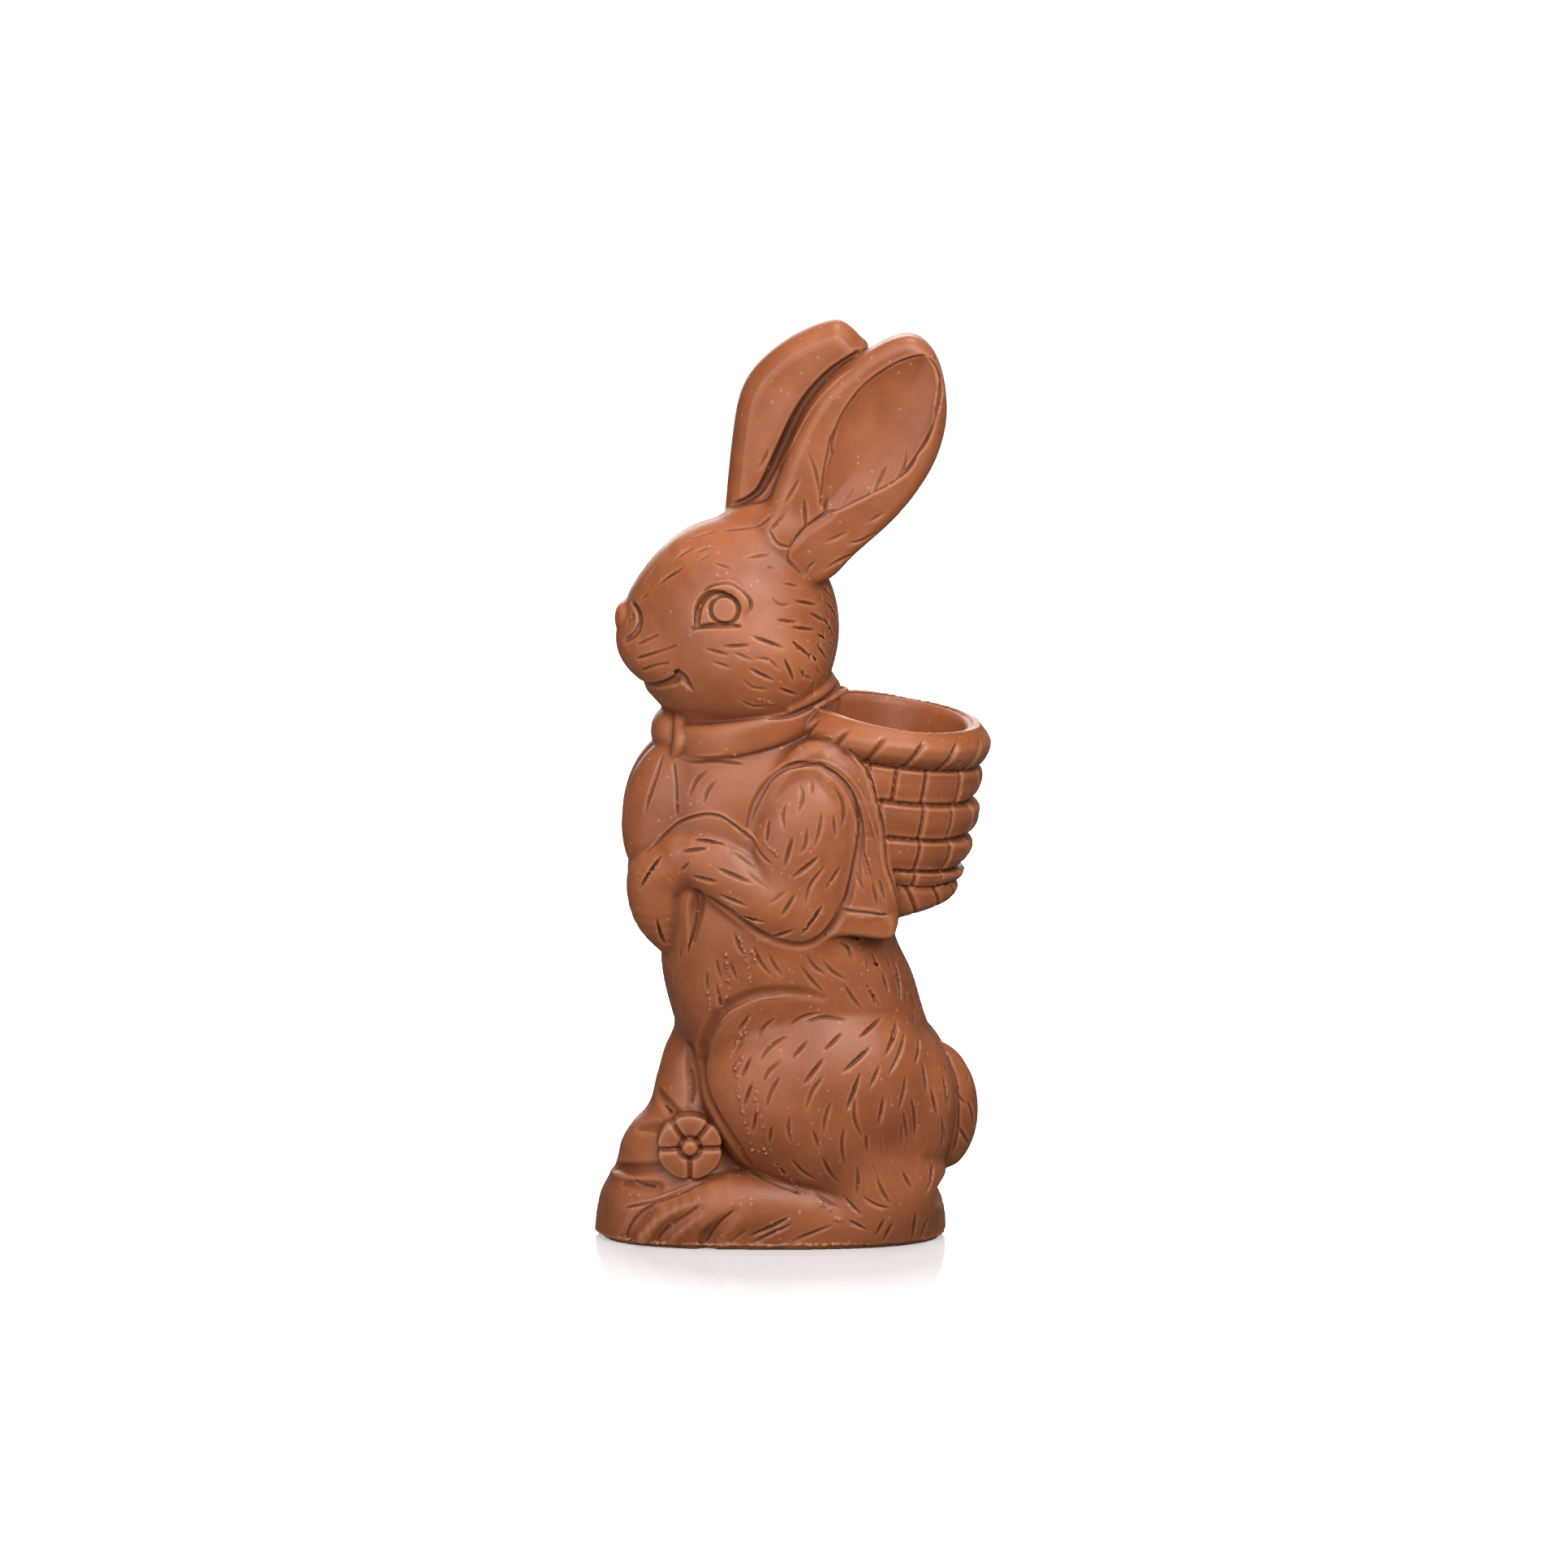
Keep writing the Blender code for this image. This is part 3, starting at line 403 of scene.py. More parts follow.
def meeting(a, b, blend):
    """The rounding, about the blend's size, where two distances are nearly the same."""
    return np.maximum(blend - np.abs(a - b), 0) ** 2 / (4 * max(blend, 1e-3))


class Clay:
    """Distances on a grid: to the surface, negative inside the chocolate, and to drawn lines."""

    def __init__(self):
        self.low = np.array(GRID_LOW, np.float32)
        self.axes = [np.arange(a, b + STEP, STEP, dtype=np.float32) for a, b in zip(GRID_LOW, GRID_HIGH)]
        self.field = np.full([len(a) for a in self.axes], OUTSIDE, np.float32)
        self.lines = np.full(self.field.shape, LINE_REACH, np.float32)

    def window(self, form, blend, side):
        """The part of the grid that a form reaches, and the form's distances there."""
        distance, low, high = form
        reach = blend + 3 * STEP + 1.0
        y_low = low[1] if side == "far" else -high[1]
        y_high = -low[1] if side == "near" else high[1]
        spans = ((low[0], high[0]), (y_low, y_high), (low[2], high[2]))
        cuts = tuple(
            slice(*np.searchsorted(axis, (a - reach, b + reach)))
            for axis, (a, b) in zip(self.axes, spans)
        )
        x, y, z = (axis[cut] for axis, cut in zip(self.axes, cuts))
        s = {"both": np.abs(y), "near": -y, "far": y}[side]
        away = distance(x[:, None, None], s[None, :, None], z[None, None, :])
        return cuts, away.astype(np.float32)

    def add(self, form, blend=0.0, side="both"):
        """Join a form on, with a fillet of about the blend's size."""
        cuts, away = self.window(form, blend, side)
        here = self.field[cuts]
        self.field[cuts] = np.minimum(here, away) - meeting(here, away, blend)

    def cut(self, form, blend=0.0, side="both"):
        """Take a form away, with an edge rounded by about the blend's size."""
        cuts, away = self.window(form, blend, side)
        here = self.field[cuts]
        self.field[cuts] = np.maximum(here, -away) + meeting(here, -away, blend)

    def draw(self, points, radii, side="both", dark=0.0):
        """Cut a thin line through points, and mark it for painted shade, reaching that far beyond it."""
        for piece in pieces(len(points), 6):
            cuts, away = self.window(tube(points[piece], radii[piece], steps=1), 0.1, side)
            self.field[cuts] = np.maximum(self.field[cuts], -away)
            self.lines[cuts] = np.minimum(self.lines[cuts], away - dark)

    def skin(self, x, z):
        """The s of the near side's outer surface at x and z, and 0 where there is none."""
        i = (x - self.low[0]) / STEP
        k = (z - self.low[2]) / STEP
        total = 0.0
        for di, dk in np.ndindex(2, 2):
            column = self.field[int(i) + di, :, int(k) + dk]
            j = int(np.argmax(column < 0))
            here = 0.0
            if column[j] < 0:
                here = -(self.axes[1][j - 1] + STEP * column[j - 1] / (column[j - 1] - column[j]))
            total += here * abs(1 - di - i % 1) * abs(1 - dk - k % 1)
        return total

    def read(self, values, points):
        """A grid's values at points in millimetres."""
        at = (points - self.low) / STEP
        corner = np.clip(at.astype(np.int64), 0, np.array(values.shape) - 2)
        share = at - corner
        total = np.zeros(len(points))
        for i, j, k in np.ndindex(2, 2, 2):
            weight = np.abs(1 - np.array([i, j, k]) - share).prod(axis=1)
            total += weight * values[corner[:, 0] + i, corner[:, 1] + j, corner[:, 2] + k]
        return total

    def shelter(self, points, normals):
        """How much of the open air in front of each point is taken by other forms, 0 to 1."""
        total = np.zeros(len(points))
        for away in (2.0, 5.0):
            total += np.clip(1 - self.read(self.field, points + away * normals) / away, 0, 1) / 2
        return total

    def surface(self):
        """The zero surface as points in millimetres and quads facing out."""
        grid = openvdb.FloatGrid(OUTSIDE)
        grid.copyFromArray(np.clip(self.field, -OUTSIDE, OUTSIDE), tolerance=0.0)
        points, quads = grid.convertToQuads(isovalue=0.0)
        return points * STEP + self.low, quads.astype(np.int64)


def pieces(count, most):
    """Slices of a path's points, each of at most so many segments and joined to the next."""
    return [slice(start, start + most + 1) for start in range(0, count - 1, most)]


def on_skin(clay, line, lift=0.0):
    """Points of an x-z line laid on the near side's surface."""
    return [(x, clay.skin(x, z) + lift, z) for x, z in line]


def groove(clay, line, radii, blend, lift=0.0, steps=4):
    """Cut a groove along an x-z line of the surface."""
    clay.cut(tube(on_skin(clay, line, lift), radii, steps=steps), blend)


def add_torso(clay):
    """Torso from the seat to the neck."""
    clay.add(stack([
        (2, -14.0, 27.0, 11.0), (20, -16.0, 28.6, 12.6), (34, -20.0, 28.6, 14.0), (44, -23.5, 25.0, 15.5),
        (52, -25.4, 22.6, 16.3), (60, -26.0, 19.2, 17.0), (70, -28.0, 19.5, 16.7), (80, -29.5, 17.5, 16.0),
        (88, -29.0, 15.0, 15.5), (96, -26.5, 11.0, 13.0), (104, -22.5, 7.5, 11.0), (112, -19.0, 5.0, 9.0),
    ], power=2.3))


def add_ground(clay):
    """The slab that the figure stands on, and the tuft that rises in front."""
    front = BASE_FRONT_X * MM
    back = front + BASE_LENGTH * MM
    half = BASE_DEPTH * MM / 2
    tuft = (
        (0, 0.0, -6, 12.0), (5, 0.4, -5, 12.4), (9, 1.3, -5, 12.2), (12, 2.6, -6, 11.6),
        (15, 3.6, -7, 11.2), (19, 4.6, -9, 10.4), (22, 6.4, -10, 9.6), (25, 9.1, -12, 8.4),
        (32, 11.4, -12, 6.8), (38, 13.2, -13, 5.6), (45, 17.2, -14, 4.0),
    )
    clay.add(stack([(z, front + behind, to_x, wide) for z, behind, to_x, wide in tuft]), 1.5)
    valley_radii = (0.7, 1.1, 0.9, 0.5)
    for valley in (
        [(-34.4, 13.8), (-31.0, 14.6), (-27.4, 15.4), (-24.6, 16.0)],
        [(-33.0, 11.6), (-29.6, 11.8), (-26.4, 11.8)],
        [(-30.2, 22.2), (-27.8, 23.0), (-25.4, 23.0)],
        [(-26.4, 29.0), (-24.6, 27.0), (-22.8, 25.6)],
        [(-20.4, 38.4), (-19.9, 34.0), (-19.6, 30.0), (-20.2, 26.4)],
    ):
        groove(clay, valley, valley_radii[:len(valley)], 1.0, lift=0.5, steps=3)
    insets = (
        (0, 0.2, 0.0, 0.4), (3, 0.4, 0.0, 0.0), (6, 0.9, 0.8, 0.0), (9, 1.8, 2.2, 1.4), (12, 4.0, 4.5, 3.4),
    )
    base = [(z, front + fore, back - aft, half - beside) for z, fore, aft, beside in insets]
    clay.add(stack(base, power=2.6), 2.0)


def add_hind_leg(clay):
    """Haunch, heel, round tail, rump and long foot with its toes."""
    haunch = ellipsoid((5.0, 6.2, 30.6), (23.2, 13.6, 21.4), lean=10)
    clay.add(haunch, 0.8)
    edge = [
        (-8.9, 16.6), (-11.6, 21.0), (-14.9, 26.0), (-17.3, 31.0), (-18.0, 36.0), (-17.3, 41.0),
        (-15.0, 45.8), (-11.4, 49.2), (-6.5, 51.2), (0.0, 51.6), (5.5, 50.6),
    ]
    edge_radii = [0.4, 0.7, 0.7, 0.7, 0.8, 0.9, 1.0, 1.0, 1.0, 0.8, 0.4]
    groove(clay, edge, edge_radii, 1.2, lift=0.5, steps=2)
    heel = ellipsoid((17.0, 7.0, 12.0), (11.5, 9.0, 10.0), lean=-25)
    clay.add(heel, 5.0)
    tail = ellipsoid((26.6, 0.0, 25.3), (8.9, 6.8, 13.2), lean=-3)
    clay.add(tail, 0.8)
    rump = ellipsoid((17.4, 4.6, 26.0), (13.8, 10.4, 18.6), lean=2)
    clay.add(rump, 0.5)
    foot = [(-28.5, 8.8, 2.6), (-21.0, 9.8, 5.6), (-12.0, 10.2, 7.8), (2.0, 9.6, 6.8), (16.0, 8.0, 4.6)]
    clay.add(tube(foot, [4.4, 5.8, 6.8, 6.6, 5.2], flat=0.85), 1.0)
    notch = ellipsoid((31.4, 0.0, 9.8), (4.8, 20.0, 3.7))
    clay.cut(notch, 0.8)
    for toe_line in (
        [(-28.0, 7.6), (-29.9, 6.0), (-31.9, 3.5), (-32.6, 1.0)],
        [(-18.5, 8.6), (-22.1, 6.4), (-25.2, 3.4), (-26.8, 0.6)],
        [(-11.6, 8.0), (-14.2, 5.4), (-16.3, 2.7), (-17.2, 0.4)],
    ):
        groove(clay, toe_line, [0.6, 1.3, 1.6, 1.5], 1.4, lift=0.7)


def add_vest(clay):
    """Front panel, hem, back panel and shoulder of the vest."""
    panel = ellipsoid((-23.4, 4.0, 84.4), (9.7, 7.6, 15.2), lean=10)
    clay.add(panel, 1.6)
    hem = [(2.0, 63.8), (2.0, 68.8), (11.0, 67.9), (18.5, 67.0), (18.7, 62.2), (11.0, 62.6)]
    clay.add(slab(hem, 0.0, 17.2, 1.3), 0.5)
    back_panel = [
        (-1.0, 98.0), (6.2, 100.6), (12.2, 97.6), (15.0, 88.4), (16.6, 79.0),
        (18.8, 70.6), (19.0, 63.6), (8.0, 63.8), (-2.0, 67.0), (-6.0, 86.0),
    ]
    clay.add(slab(back_panel, 0.0, 16.9, 2.4), 1.0)
    shoulder = ellipsoid((3.6, 5.6, 86.0), (13.8, 10.6, 14.6), lean=-8)
    clay.add(shoulder, 2.5)
    yoke = ellipsoid((-4.0, 6.0, 90.6), (14.0, 9.4, 9.6), lean=6)
    clay.add(yoke, 3.0)


def add_strap(clay):
    """The rounded edge of the vest where the basket hangs on it."""
    sheet = [
        (5.0, 97.6), (8.4, 97.6), (12.0, 95.0), (14.6, 88.6), (16.0, 81.6), (17.6, 73.6), (18.2, 67.2),
        (10.0, 66.0), (6.0, 80.0),
    ]
    clay.add(slab(sheet, 0.0, 17.5, 1.6), 1.0)
    strap = [
        (6.4, 12.8, 100.4), (10.8, 15.4, 97.4), (13.9, 16.6, 92.6), (15.5, 17.0, 86.0),
        (16.9, 16.8, 79.0), (18.4, 16.2, 71.6), (18.8, 15.0, 67.2),
    ]
    clay.add(tube(strap, [1.0, 1.1, 1.1, 1.1, 1.1, 1.1, 0.8]), 1.6)


def add_arm(clay):
    """Upper arm, forearm and the paw that hangs on the belly."""
    upper = ellipsoid((1.9, 12.6, 78.4), (11.4, 7.2, 18.6), lean=7)
    clay.add(upper, 0.3)
    armhole = [
        (-9.4, 82.0), (-7.8, 88.6), (-3.6, 94.4), (2.0, 96.4), (7.4, 94.4), (11.2, 89.6), (12.8, 82.4),
        (12.4, 74.0),
    ]
    groove(clay, armhole, [0.3, 0.5, 0.6, 0.6, 0.6, 0.6, 0.6, 0.4], 0.35, lift=0.1)
    elbow = tube([(2.0, 13.4, 66.8), (-2.4, 13.6, 67.8)], [7.2, 7.1], flat=0.82)
    clay.add(elbow, 3.0)
    forearm = [(-1.6, 13.6, 67.6), (-7.0, 13.4, 69.8), (-14.6, 12.0, 75.8), (-19.8, 9.8, 77.4)]
    clay.add(tube(forearm, [7.1, 7.3, 7.1, 6.7], flat=0.82), 0.5)
    paw = [
        (-20.8, 9.4, 76.8), (-25.2, 7.0, 72.8), (-25.2, 5.6, 66.4), (-23.4, 4.8, 60.6), (-22.0, 4.4, 57.6),
    ]
    clay.add(tube(paw, [6.4, 6.8, 6.4, 4.2, 2.2], flat=0.92), 0.6)
    under_arm = [
        (12.0, 81.2), (11.5, 77.1), (10.3, 70.8), (8.3, 66.3), (5.3, 62.6), (1.4, 60.9), (-3.3, 61.8),
        (-8.0, 64.2), (-12.7, 67.6), (-16.6, 70.0),
    ]
    groove(clay, under_arm, [0.3, 0.6, 0.9, 0.9, 0.8, 0.7, 0.7, 0.7, 0.7, 0.4], 0.6, lift=0.25, steps=2)
    wrist = [(-18.5, 70.2), (-19.0, 67.4), (-19.4, 64.6), (-19.8, 61.4)]
    groove(clay, wrist, [1.1, 1.4, 1.0, 0.5], 1.0, lift=0.3)


def add_head(clay):
    """Skull, brow, muzzle, chin, cheeks, nose and mouth."""
    skull_radii = (HEAD_LENGTH / 2 * MM, HEAD_WIDTH / 2 * MM, HEAD_HEIGHT / 2 * MM)
    clay.add(ellipsoid((-11.0, 0.0, 119.8), skull_radii), 1.5)
    brow = tube([(-17.0, 0, 126.9), (-23.6, 0, 123.0), (-27.8, 0, 118.4)], [11.2, 8.8, 6.2])
    clay.add(brow, 3.0)
    muzzle = ellipsoid((-24.3, 2.8, 116.4), (9.2, 7.0, 7.6), lean=10)
    clay.add(muzzle, 3.0)
    chin = tube([(-25.4, 0, 109.2), (-20.3, 0, 106.8)], [3.4, 5.5], flat=1.3)
    clay.add(chin, 1.0)
    cheek = ellipsoid((-7.2, 5.8, 114.0), (12.8, 10.8, 11.6), lean=8)
    clay.add(cheek, 4.0)
    nose = ellipsoid((-31.8, 0.8, 121.2), (2.7, 3.6, 3.9), lean=-10)
    clay.add(nose, 0.3)
    crease = [
        (-31.2, 125.6), (-30.0, 124.4), (-29.6, 122.8), (-29.9, 120.8), (-31.0, 119.3), (-32.5, 118.2),
    ]
    groove(clay, crease, [0.3, 0.5, 0.6, 0.6, 0.5, 0.3], 0.3, steps=2)
    lips = on_skin(clay, [(-27.8, 109.4), (-25.0, 110.4), (-22.6, 111.8), (-22.2, 113.2)])
    clay.cut(tube([(-31.0, 0.0, 109.8)] + lips, [0.8, 0.7, 0.7, 0.9, 0.5]), 0.4)
    dimple = [(-22.5, 113.0), (-21.3, 112.0), (-19.7, 110.0)]
    groove(clay, dimple, [0.6, 1.0, 0.3], 0.4)


def add_eye(clay):
    """Round iris in a ring groove, under a raised lid."""
    centre_x = -13.4
    centre_z = 125.9
    iris_radius = 2.7
    lid_radius = 4.0
    corner_x = centre_x - 5.3
    corner_z = centre_z - 3.3

    def arc(radius, degrees):
        turns = np.radians(degrees)
        return [(centre_x + radius * math.cos(a), centre_z + radius * math.sin(a)) for a in turns]

    lid = on_skin(clay, arc(lid_radius, (-15, 20, 60, 95, 130, 150)), -0.9)
    clay.add(tube(lid, [0.9, 1.5, 1.6, 1.6, 1.3, 0.9]), 0.3)
    white = [
        (corner_x, corner_z), (corner_x + 0.3, corner_z + 3.4), (corner_x + 1.6, corner_z + 5.6),
        (corner_x + 3.6, corner_z + 6.3), (centre_x, centre_z + iris_radius + 0.3),
    ]
    groove(clay, white, [0.5, 0.8, 0.8, 0.7, 0.5], 0.2)
    under = [
        (corner_x - 0.9, corner_z - 0.5), (centre_x - 2.0, corner_z + 0.3),
        (centre_x + 3.0, corner_z + 0.2),
    ]
    groove(clay, under, [0.3, 0.6, 0.3], 0.2)
    ring = arc(iris_radius, np.linspace(0, 360, 13))
    groove(clay, ring, [0.45] * len(ring), 0.2, steps=2)


def add_ears(clay):
    """Two upright ears, set one behind the other and touching at the tips."""
    half = EAR_THICKNESS / 2 * MM
    near_ear = [
        (14.4, 174.6), (19.4, 177.0), (23.2, 177.1), (26.7, 173.8), (28.7, 167.5), (28.8, 160.0),
        (26.1, 151.7), (20.0, 143.0), (11.6, 135.2), (6.4, 130.2), (-0.5, 128.8), (-4.4, 134.0),
        (-6.0, 140.6), (-4.6, 145.2), (-2.9, 149.9), (0.3, 158.2), (4.5, 165.7), (10.3, 171.3),
    ]
    clay.add(slab(near_ear, half - 0.1, half, 2.6), 1.0, side="near")
    flare = [(-1.5, 5.0, 139.6), (-5.6, 3.4, 141.4), (-9.6, 1.4, 141.4), (-12.6, -0.6, 140.4)]
    clay.add(tube(flare, [4.0, 2.8, 1.8, 1.2]), 2.2, side="near")
    root = ellipsoid((-4.5, 2.2, 136.0), (8.5, 6.2, 5.6), lean=20)
    clay.add(root, 4.0, side="near")
    far_ear = [
        (14.0, 172.6), (12.2, 176.0), (9.8, 178.2), (7.3, 178.8), (2.2, 177.1), (-3.0, 174.1),
        (-7.1, 170.4), (-9.7, 166.5), (-11.1, 162.0), (-12.2, 154.0), (-13.0, 146.0), (-13.4, 139.0),
        (-12.0, 134.0), (-4.0, 134.0), (3.0, 150.0), (8.0, 162.0),
    ]
    clay.add(slab(far_ear, half - 0.2, half, 4.2), 2.0, side="far")
    crown = ellipsoid((-2.4, half, 157.5), (7.0, half + 0.8, 16.5), lean=17)
    clay.add(crown, 1.2, side="far")
    hollow = [
        (24.8, 174.0), (26.9, 171.4), (27.3, 167.3), (26.1, 161.1), (23.4, 154.8), (19.4, 150.2),
        (14.7, 147.6), (8.5, 144.6), (5.4, 144.4), (5.4, 149.0), (7.0, 155.4), (8.3, 160.6),
        (11.2, 165.8), (16.3, 170.7), (20.6, 173.2),
    ]
    clay.cut(dish(hollow, 2 * half - 0.1, rim=0.35, deep=1.9, slope=0.4), 0.2, side="near")
    fold = [(6.4, 9.1, 143.4), (2.4, 9.4, 140.4), (-0.8, 10.2, 136.8)]
    clay.cut(tube(fold, [0.8, 0.8, 0.6]), 0.8, side="near")


def add_scarf(clay):
    """A folded scarf round the neck, higher at the back, knotted in front."""
    centre = (-8.5, 0.0, 102.6)
    half_length = 15.1
    half_width = 12.2
    thick = 2.2
    tall = 3.5
    square = 3.2
    rise = math.tan(math.radians(13.0))
    sag = 1.6

    def band(x, s, z):
        u = (x - centre[0]) / half_length
        v = s / half_width
        around = np.sqrt(u * u + v * v) + 1e-6
        away = (around - 1) * np.hypot(half_length * u, half_width * v) / around
        up = z - (centre[2] + (x - centre[0]) * rise - sag * np.abs(v / around))
        return ((np.abs(away / thick) ** square + np.abs(up / tall) ** square) ** (1 / square) - 1) * thick

    clay.add((band, np.array([-29.5, 0, 92.0]), np.array([13.0, 17.0, 113.0])), 0.4)
    rear_fold = [(-1.0, 11.8, 106.4), (3.0, 9.2, 108.2), (5.4, 5.4, 109.2), (6.0, 0.0, 109.4)]
    clay.add(tube(rear_fold, [1.2, 1.8, 1.9, 1.9]), 0.3)
    gap = [(-5.0, 104.6), (-1.0, 104.9), (3.0, 106.2), (6.4, 107.8), (9.4, 109.4)]
    groove(clay, gap, [0.2, 0.5, 0.6, 0.6, 0.5], 0.2)
    knot = ellipsoid((-23.4, 0.0, 99.2), (4.2, 7.2, 5.4), lean=-6)
    clay.add(knot, 0.6)
    end = on_skin(clay, [(-21.7, 102.8), (-21.6, 99.6), (-22.4, 96.6)], -0.9)
    clay.add(tube(end, [1.5, 1.7, 1.4]), 0.25)


def basket_place(x, z):
    """Place along the basket's length and depth below its rim."""
    lean = math.radians(BASKET_LEAN)
    dx = x - BASKET_CENTRE_X * MM
    dz = z - BASKET_RIM_Z * MM
    return dx * math.cos(lean) - dz * math.sin(lean), -(dx * math.sin(lean) + dz * math.cos(lean))


def basket_relief(angle, deep):
    """Relief of the woven rows and of the braids above and below them, as added radius."""
    radius = 19.0
    stakes = 16
    row_edges = (7.3, 14.2, 21.2, 27.6, 30.6)
    row_slots = (
        (-60, -34, -10, 6, 24, 50, 72), (-70, -44, -22, 0, 26, 46, 68),
        (-62, -38, -16, 5, 27, 50, 71), (-56, -34, -10, 12, 29, 50, 73),
    )
    slot_deep = 0.8
    slot_wide = 0.38
    weave = 0.14
    round_from = 0.75
    round_over = 0.5
    braids = ((-2.0, row_edges[0], 0.22), (row_edges[-1], 42.0, -0.3))
    braid_deep = 0.75
    braid_wide = 0.55
    most_in = -1.7
    most_out = 0.6
    relief = np.zeros(np.broadcast(angle, deep).shape, np.float32)
    for row, (top, bottom) in enumerate(zip(row_edges[:-1], row_edges[1:])):
        here = (deep > top) & (deep <= bottom)
        down = (deep - top) / (bottom - top)
        flat_row = curve_at((0.0, 0.08, 0.2, 0.75, 0.93, 1.0), (-0.8, 0.3, 0.45, 0.2, -0.15, -0.9), down)
        round_row = curve_at((0.0, 0.12, 0.3, 0.6, 0.88, 1.0), (-1.3, 0.0, 0.6, 0.5, -0.5, -1.6), down)
        bulge = flat_row + (round_row - flat_row) * np.clip((angle - round_from) / round_over, 0, 1)
        slots = np.radians(row_slots[row])
        beside = np.min([np.abs(angle - slot) for slot in slots], axis=0) * radius
        slot = slot_deep * np.exp(-((beside / slot_wide) ** 2))
        over = weave * (-1.0) ** (np.searchsorted(slots, angle) + row)
        relief = np.where(here, bulge + over - slot, relief)
    turn = angle * stakes / (2 * math.pi)
    for top, bottom, slant in braids:
        here = (deep > top) & (deep <= bottom)
        beside = np.abs(np.sin(math.pi * (turn - 0.1 + slant * (deep - top) / 3.0))) * (2 * radius / stakes)
        across = np.clip(np.minimum(deep - top, bottom - deep) / 1.2, 0, 1)
        braid = 0.5 * across - 0.3 - braid_deep * np.exp(-((beside / braid_wide) ** 2))
        relief = np.where(here, braid * np.clip((deep - 1.0) / 1.6, 0, 1), relief)
    return np.clip(relief, most_in, most_out)


def add_basket(clay):
    """A woven basket with a braided rim and an open top, fused to the back."""
    deep_at = (0.0, 1.5, 4.0, 6.6, 8.0, 17.0, 24.0, 30.0, 34.0, 40.0)
    radius_at = (17.4, 18.9, 19.6, 18.9, 18.7, 19.0, 18.7, 17.6, 17.4, 15.5)
    rim_wide = BASKET_RIM_DEPTH / BASKET_RIM_LENGTH
    wall_wide = BASKET_WALL_DEPTH / BASKET_RIM_LENGTH
    edge = 2.0
    level_x = 17.2
    under_slope = 0.17
    mouth_x = 1.0
    mouth_half = BASKET_MOUTH_LENGTH / 2 * MM
    mouth_wide = BASKET_MOUTH_DEPTH / BASKET_MOUTH_LENGTH
    mouth_taper = 0.14

    def outer(x, s, z):
        u, deep = basket_place(x, z)
        wide = curve_at((3.0, 5.5, 7.3), (rim_wide, rim_wide - 0.03, wall_wide), deep)
        v = s / wide
        wall = curve_at(deep_at, radius_at, deep) + basket_relief(np.arctan2(u, v), deep)
        side = np.maximum(np.hypot(u, v) - wall, -deep - 0.3)
        under = BASKET_BOTTOM_Z * MM - z + (x - level_x) * under_slope
        return np.maximum(side, under) + meeting(side, under, edge)

    def mouth(x, s, z):
        u, deep = basket_place(x, z)
        side = np.hypot(u - mouth_x, s / mouth_wide) - (mouth_half - mouth_taper * deep)
        return np.maximum(side, deep - BASKET_CUP_DEPTH * MM)

    clay.add((outer, np.array([-3, 0, 60.0]), np.array([40, 21, 106.0])), 0.5)
    clay.cut((mouth, np.array([1, 0, 86.0]), np.array([36, 18, 110.0])), 2.0)


def add_flower(clay):
    """A five-petalled flower on the tuft in front of the haunch."""
    centre = np.array([-20.2, 10.0, 19.9])
    radius = FLOWER_DIAMETER / 2 * MM
    thick = 2.9
    button_share = 0.33
    button_rise = 0.4
    gaps = np.radians((0, 52, 124, 183, 270))
    gap_deep = 0.9
    gap_wide = 0.45

    def flower(x, s, z):
        away = np.hypot(x - centre[0], z - centre[2])
        angle = np.arctan2(z - centre[2], x - centre[0])
        turns = [np.abs(np.mod(angle - gap + math.pi, 2 * math.pi) - math.pi) for gap in gaps]
        beside = np.minimum(np.min(turns, axis=0), 1.5) * away
        share = away / radius
        petal = thick - 3.2 * (share - 0.65) ** 2 - gap_deep * np.exp(-((beside / gap_wide) ** 2))
        button = thick + button_rise - 2.0 * (share / button_share) ** 4
        ring = 0.5 * np.exp(-(((share - button_share) / 0.07) ** 2))
        top = np.maximum(np.minimum(petal, thick), button) - ring
        rim = radius * (1 - 0.07 * np.exp(-((beside / 0.7) ** 2)))
        return np.maximum((s - centre[1] - top) * 0.8, away - rim)

    low = centre - (radius, 4.0, radius)
    high = centre + (radius, thick + button_rise, radius)
    clay.add((flower, low, high), 0.2)


def traced(clay, pixels, lift=0.0):
    """Points of the near side's skin that the photograph shows at those pixels."""
    points = []
    for across, down in pixels:
        x = (across - PHOTO_X) / PHOTO_ACROSS
        s = 10.0
        for _ in range(4):
            z = (PHOTO_Z - down) / PHOTO_UP + PHOTO_DROP * s
            s = clay.skin(x, z)
        points.append((x, s + lift, z))
    return points


def gouge(clay, pixels, side="both", broad=1.0):
    """Cut a short fur stroke, wide in its middle, where the photograph shows it."""
    longer = 0.3
    tip_radius = 0.11
    least_swell = 0.12
    more_swell = 0.18
    swell_per_length = 0.027
    points = np.array(pixels, float)
    points[0] += (points[0] - points[1]) * longer
    points[-1] += (points[-1] - points[-2]) * longer
    path = smooth_path(traced(clay, points, STROKE_LIFT), 5)
    length = np.linalg.norm(np.diff(path, axis=0), axis=1).sum()
    share = np.linspace(0, 1, len(path))
    swell = broad * (least_swell + min(more_swell, swell_per_length * length))
    clay.draw(path, tip_radius + swell * np.sin(math.pi * share) ** 0.8, side)


def tapered(count, steep, least):
    """Shares of a line's radius along it, from the least at its ends to 1."""
    share = np.linspace(0, 1, count)
    return np.clip(np.minimum(share, 1 - share) * steep, least, 1) ** 0.6


